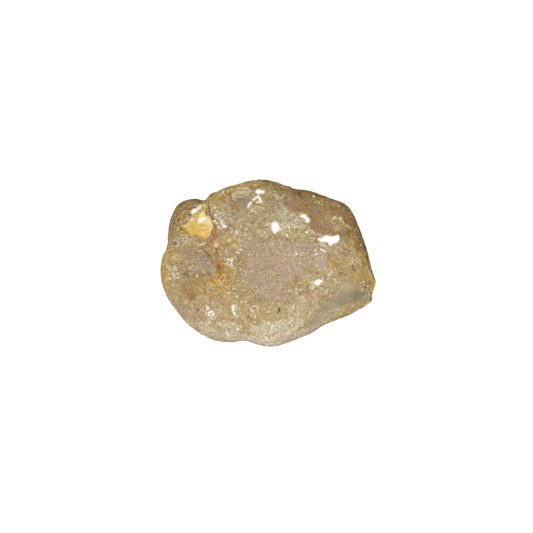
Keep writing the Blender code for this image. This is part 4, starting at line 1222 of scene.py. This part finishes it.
def crustSkin(tree, tint, colour, crust):
    # painted shade in the crust's hollows, then pale crust on its ridges
    crinkled = read(tree, "relief")
    hollowShaded = times(tree, spread(tree, crust, *skinTexture["hollowFade"]), crinkled)
    colour = blend(tree, hollowShaded, colour, skinTexture["paintedHollowShade"], "MULTIPLY")
    ridge = times(tree, spread(tree, crust, *skinTexture["ridgeFade"]), crinkled)
    return blend(tree, times(tree, ridge, skinTexture["ridgeShare"]), colour,
                 paler(tree, tint, "ridgePale"))


def addCurls(tree, place, tint, colour):
    # thin pale curls on the frosted parts; also gives where they are
    curl = addNoise(tree, place, *patterns["curl"])
    fold = compute(tree, "ABSOLUTE", compute(tree, "SUBTRACT", curl, 0.5))
    curled = times(tree, spread(tree, fold, *skinTexture["curlFade"]), read(tree, "frost"))
    colour = blend(tree, times(tree, curled, skinTexture["curlShare"]), colour,
                   paler(tree, tint, "curlPale"))
    return colour, curled


def addSpecks(tree, place, tint, colour):
    # cream specks, in clusters, where the crust is thick
    speck, cluster = (
        spread(tree, addNoise(tree, place, *patterns[name]), *skinTexture[name + "Fade"])
        for name in ("speck", "cluster"))
    specked = times(tree, times(tree, speck, cluster), read(tree, "crust"))
    return blend(tree, specked, colour, paler(tree, tint, "speckPale"))


def addBeads(tree, place, tint, colour):
    # tiny pale beads strewn over the frosted parts
    cell = addCells(tree, place, skinTexture["beadGap"])
    bead = spread(tree, cell["Distance"], *skinTexture["beadFade"])
    kept = spread(tree, dotProduct(tree, cell["Color"], (1.0, 0.0, 0.0)),
                  *skinTexture["beadKept"])
    beaded = times(tree, times(tree, bead, kept), read(tree, "frost"))
    return blend(tree, beaded, colour, paler(tree, tint, "beadPale"))


def addGrit(tree, place, colour):
    grit = spread(tree, addNoise(tree, place, *patterns["grit"]), *skinTexture["gritFade"])
    gritty = times(tree, grit, read(tree, "grit"))
    return blend(tree, gritty, colour, skinTexture["gritColour"], "MULTIPLY")


def addTouches(tree, colour, grain, jag):
    # pale strokes and dots, the white ones mostly painted glints, each in a darker ring; also
    # gives where they are
    crinkled = read(tree, "relief")
    touched = 0.0
    for name, touch in touches.items():
        depth = read(tree, name)
        ring = times(tree, ragged(tree, depth, *skinTexture["ringReach"]), crinkled)
        colour = blend(tree, ring, colour, skinTexture["ringColour"], "MULTIPLY")
        mask = times(tree, ragged(tree, depth, jag, skinTexture["touchSoft"]), touch["share"])
        mask = times(tree, mask, spread(tree, grain, *skinTexture["touchWorn"]))
        shown = skinTexture["touchLight"] * (linear(touch["colour"]) / fullLight)
        colour = blend(tree, mask, colour, (*shown, 1.0))
        touched = compute(tree, "MAXIMUM", mask, touched)
    return colour, touched


def addChipHighlights(tree, place, colour, mottle, jag):
    # the flat glassy chips, each in a pale halo of painted highlight, with painted highlight
    # colour on the chip itself over its real reflection; also gives where they are
    glass = read(tree, "glass")
    outer = compute(tree, "ADD", glass, skinTexture["haloReach"])
    highlightHalo = ragged(tree, outer, jag, skinTexture["chipSoft"])
    colour = blend(tree, times(tree, highlightHalo, skinTexture["haloShare"]), colour,
                   skinTexture["haloHighlightColour"])
    chipped = spread(tree, addNoise(tree, place, *patterns["chip"]),
                     *skinTexture["shadeFade"], *skinTexture["chipReach"])
    glassy = ragged(tree, glass, chipped, skinTexture["chipSoft"])
    shade = spread(tree, mottle, *skinTexture["shadeFade"], *skinTexture["chipShade"])
    colour = blend(tree, glassy, colour, scaled(tree, skinTexture["chipHighlightTint"], shade))
    return colour, glassy


def skinFacing(tree, place, crust, curled, grain, glassy):
    # small flat crystals, each leaning its own way, that sparkle, under the crust, curls
    # and grain; the flat chips face their own way
    cell = addCells(tree, place, skinTexture["facetSize"])
    away = computeVector(tree, "SUBTRACT", place, cell["Position"])
    lean = computeVector(tree, "SUBTRACT", cell["Color"], (0.5, 0.5, 0.5))
    height = times(tree, dotProduct(tree, away, lean), skinTexture["facetTilt"] / mm)
    for layer, rise in ((crust, "crustHeight"), (curled, "curlHeight"), (grain, "grainHeight")):
        height = compute(tree, "MULTIPLY_ADD", layer, skinTexture[rise], height)
    bump = addNode(tree, "Bump", {"Height": times(tree, height, read(tree, "relief")),
                                  "Distance": mm, "Strength": 1.0})
    facing = addNode(tree, "Mix", {
        0: glassy, 4: bump.outputs["Normal"], 5: read(tree, "flatFacing", "Vector")},
        data_type="VECTOR")
    return computeVector(tree, "NORMALIZE", facing.outputs[1])


def stoneMaterial():
    material = bpy.data.materials.new("agateSkin")
    material.use_nodes = True
    tree = material.node_tree
    shader = tree.nodes["Principled BSDF"]
    for name, value in waxyBody.items():
        shader.inputs[name].default_value = value

    place = addNode(tree, "TexCoord").outputs["Object"]
    tint = read(tree, "tint", "Color")
    grain, mottle, crust, edge = (
        addNoise(tree, place, *patterns[name]) for name in ("grain", "mottle", "crust", "edge"))
    reach = skinTexture["edgeReach"]
    jag = compute(tree, "MULTIPLY_ADD", edge, reach, -0.5 * reach)
    colour = cloudSkin(tree, place, tint, grain, mottle)
    colour = crustSkin(tree, tint, colour, crust)
    colour, curled = addCurls(tree, place, tint, colour)
    colour = addSpecks(tree, place, tint, colour)
    colour = addBeads(tree, place, tint, colour)
    colour = addGrit(tree, place, colour)
    colour, touched = addTouches(tree, colour, grain, jag)
    colour, glassy = addChipHighlights(tree, place, colour, mottle, jag)
    # the painted shade line round the rim, then painted light that evens out the faint sides
    rimShaded = spread(tree, read(tree, "turn"), *rimShadeLine["reach"])
    colour = blend(tree, rimShaded, colour, (*(linear(rimShadeLine["colour"]) / fullLight), 1.0))
    colour = computeVector(tree, "MULTIPLY", colour, read(tree, "paintedLight", "Color"))
    tree.links.new(colour, shader.inputs["Base Color"])

    rough = read(tree, "rough")
    for mask, name in ((touched, "touchRoughness"), (glassy, "chipRoughness")):
        rough = addNode(tree, "Mix", {"Factor": mask, "A": rough,
                                      "B": skinTexture[name]}).outputs["Result"]
    tree.links.new(rough, shader.inputs["Roughness"])
    tree.links.new(skinFacing(tree, place, crust, curled, grain, glassy),
                   shader.inputs["Normal"])
    return material


white = (1.0, 1.0, 1.0, 1.0)
studio = {
    "floorSize": 6.0,
    "floorDrop": 0.02 * mm,  # keeps the floor clear of the stone's foot
    "floorColour": (0.22, 0.18, 0.12, 1.0),
    "floorRoughness": 0.9,
    "floorGlow": 0.97,
    "keyPower": 4.5,
    "keySize": 0.15,
    "skyLight": 0.52,
    "skyColour": (1.0, 0.88, 0.68, 1.0),
    "skyMirrored": 0.25,  # how much of the sky's light shows in reflections
}


def floorMaterial():
    # a pale floor that glows to the camera, so the shadow on it stays faint
    material = bpy.data.materials.new("paleFloor")
    material.use_nodes = True
    tree = material.node_tree
    shader = tree.nodes["Principled BSDF"]
    shader.inputs["Base Color"].default_value = studio["floorColour"]
    shader.inputs["Roughness"].default_value = studio["floorRoughness"]
    shader.inputs["Specular IOR Level"].default_value = 0.0
    shader.inputs["Emission Color"].default_value = white
    seen = addNode(tree, "LightPath").outputs["Is Camera Ray"]
    tree.links.new(times(tree, seen, studio["floorGlow"]), shader.inputs["Emission Strength"])
    return material


def addFloor():
    bpy.ops.object.select_all(action="DESELECT")
    bpy.ops.mesh.primitive_plane_add(
        size=studio["floorSize"], location=(0.0, 0.0, -studio["floorDrop"]))
    floor = bpy.context.object
    floor.name = "floor"
    floor.data.materials.append(floorMaterial())


def scenePlace(place):
    # one place on the stone's own layout, in Blender's metres
    return tuple(faceToWorld(place.reshape(1, 3))[0] * mm)


def addKey():
    bpy.ops.object.light_add(type="AREA", location=scenePlace(keyPlace))
    key = bpy.context.object
    key.name = "keyLight"
    key.data.shape = "DISK"
    key.data.size = studio["keySize"]
    key.data.energy = studio["keyPower"]
    aim = Vector(view["target"]) * mm - key.location
    key.rotation_euler = aim.to_track_quat("-Z", "Y").to_euler()


def addSky():
    # warm light from all round, fainter in reflections, and plain white to the camera
    world = bpy.data.worlds.new("paleStudio")
    bpy.context.scene.world = world
    world.use_nodes = True
    tree = world.node_tree
    path = addNode(tree, "LightPath").outputs
    dimmed = addNode(tree, "MapRange", {
        "Value": path["Is Glossy Ray"], "To Min": studio["skyLight"],
        "To Max": studio["skyLight"] * studio["skyMirrored"]})
    glow = addNode(tree, "Background", {
        "Color": studio["skyColour"], "Strength": dimmed.outputs["Result"]})
    seen = addNode(tree, "Background", {"Color": white, "Strength": 1.0})
    mix = addNode(tree, "MixShader", {
        0: path["Is Camera Ray"], 1: glow.outputs["Background"], 2: seen.outputs["Background"]})
    tree.links.new(mix.outputs["Shader"], tree.nodes["World Output"].inputs["Surface"])


def addCamera():
    bpy.ops.object.camera_add(
        location=scenePlace(eye), rotation=(math.pi / 2 - face["rise"], 0.0, 0.0))
    camera = bpy.context.object
    camera.data.lens = view["lens"]
    camera.data.sensor_width = view["sensor"]
    camera.data.clip_start, camera.data.clip_end = view["clip"]
    bpy.context.scene.camera = camera


print("carving the stone")
agate = carveStone()
print("  faces:", len(agate.data.polygons))
agate.data.materials.append(stoneMaterial())
bpy.ops.object.select_all(action="DESELECT")
agate.select_set(True)
bpy.context.view_layer.objects.active = agate
bpy.ops.object.shade_smooth()
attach(agate, "root")
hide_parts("agate")

print("setting the stage")
addFloor()
addKey()
addSky()
addCamera()
bpy.context.scene.view_settings.view_transform = "Standard"

print("done")
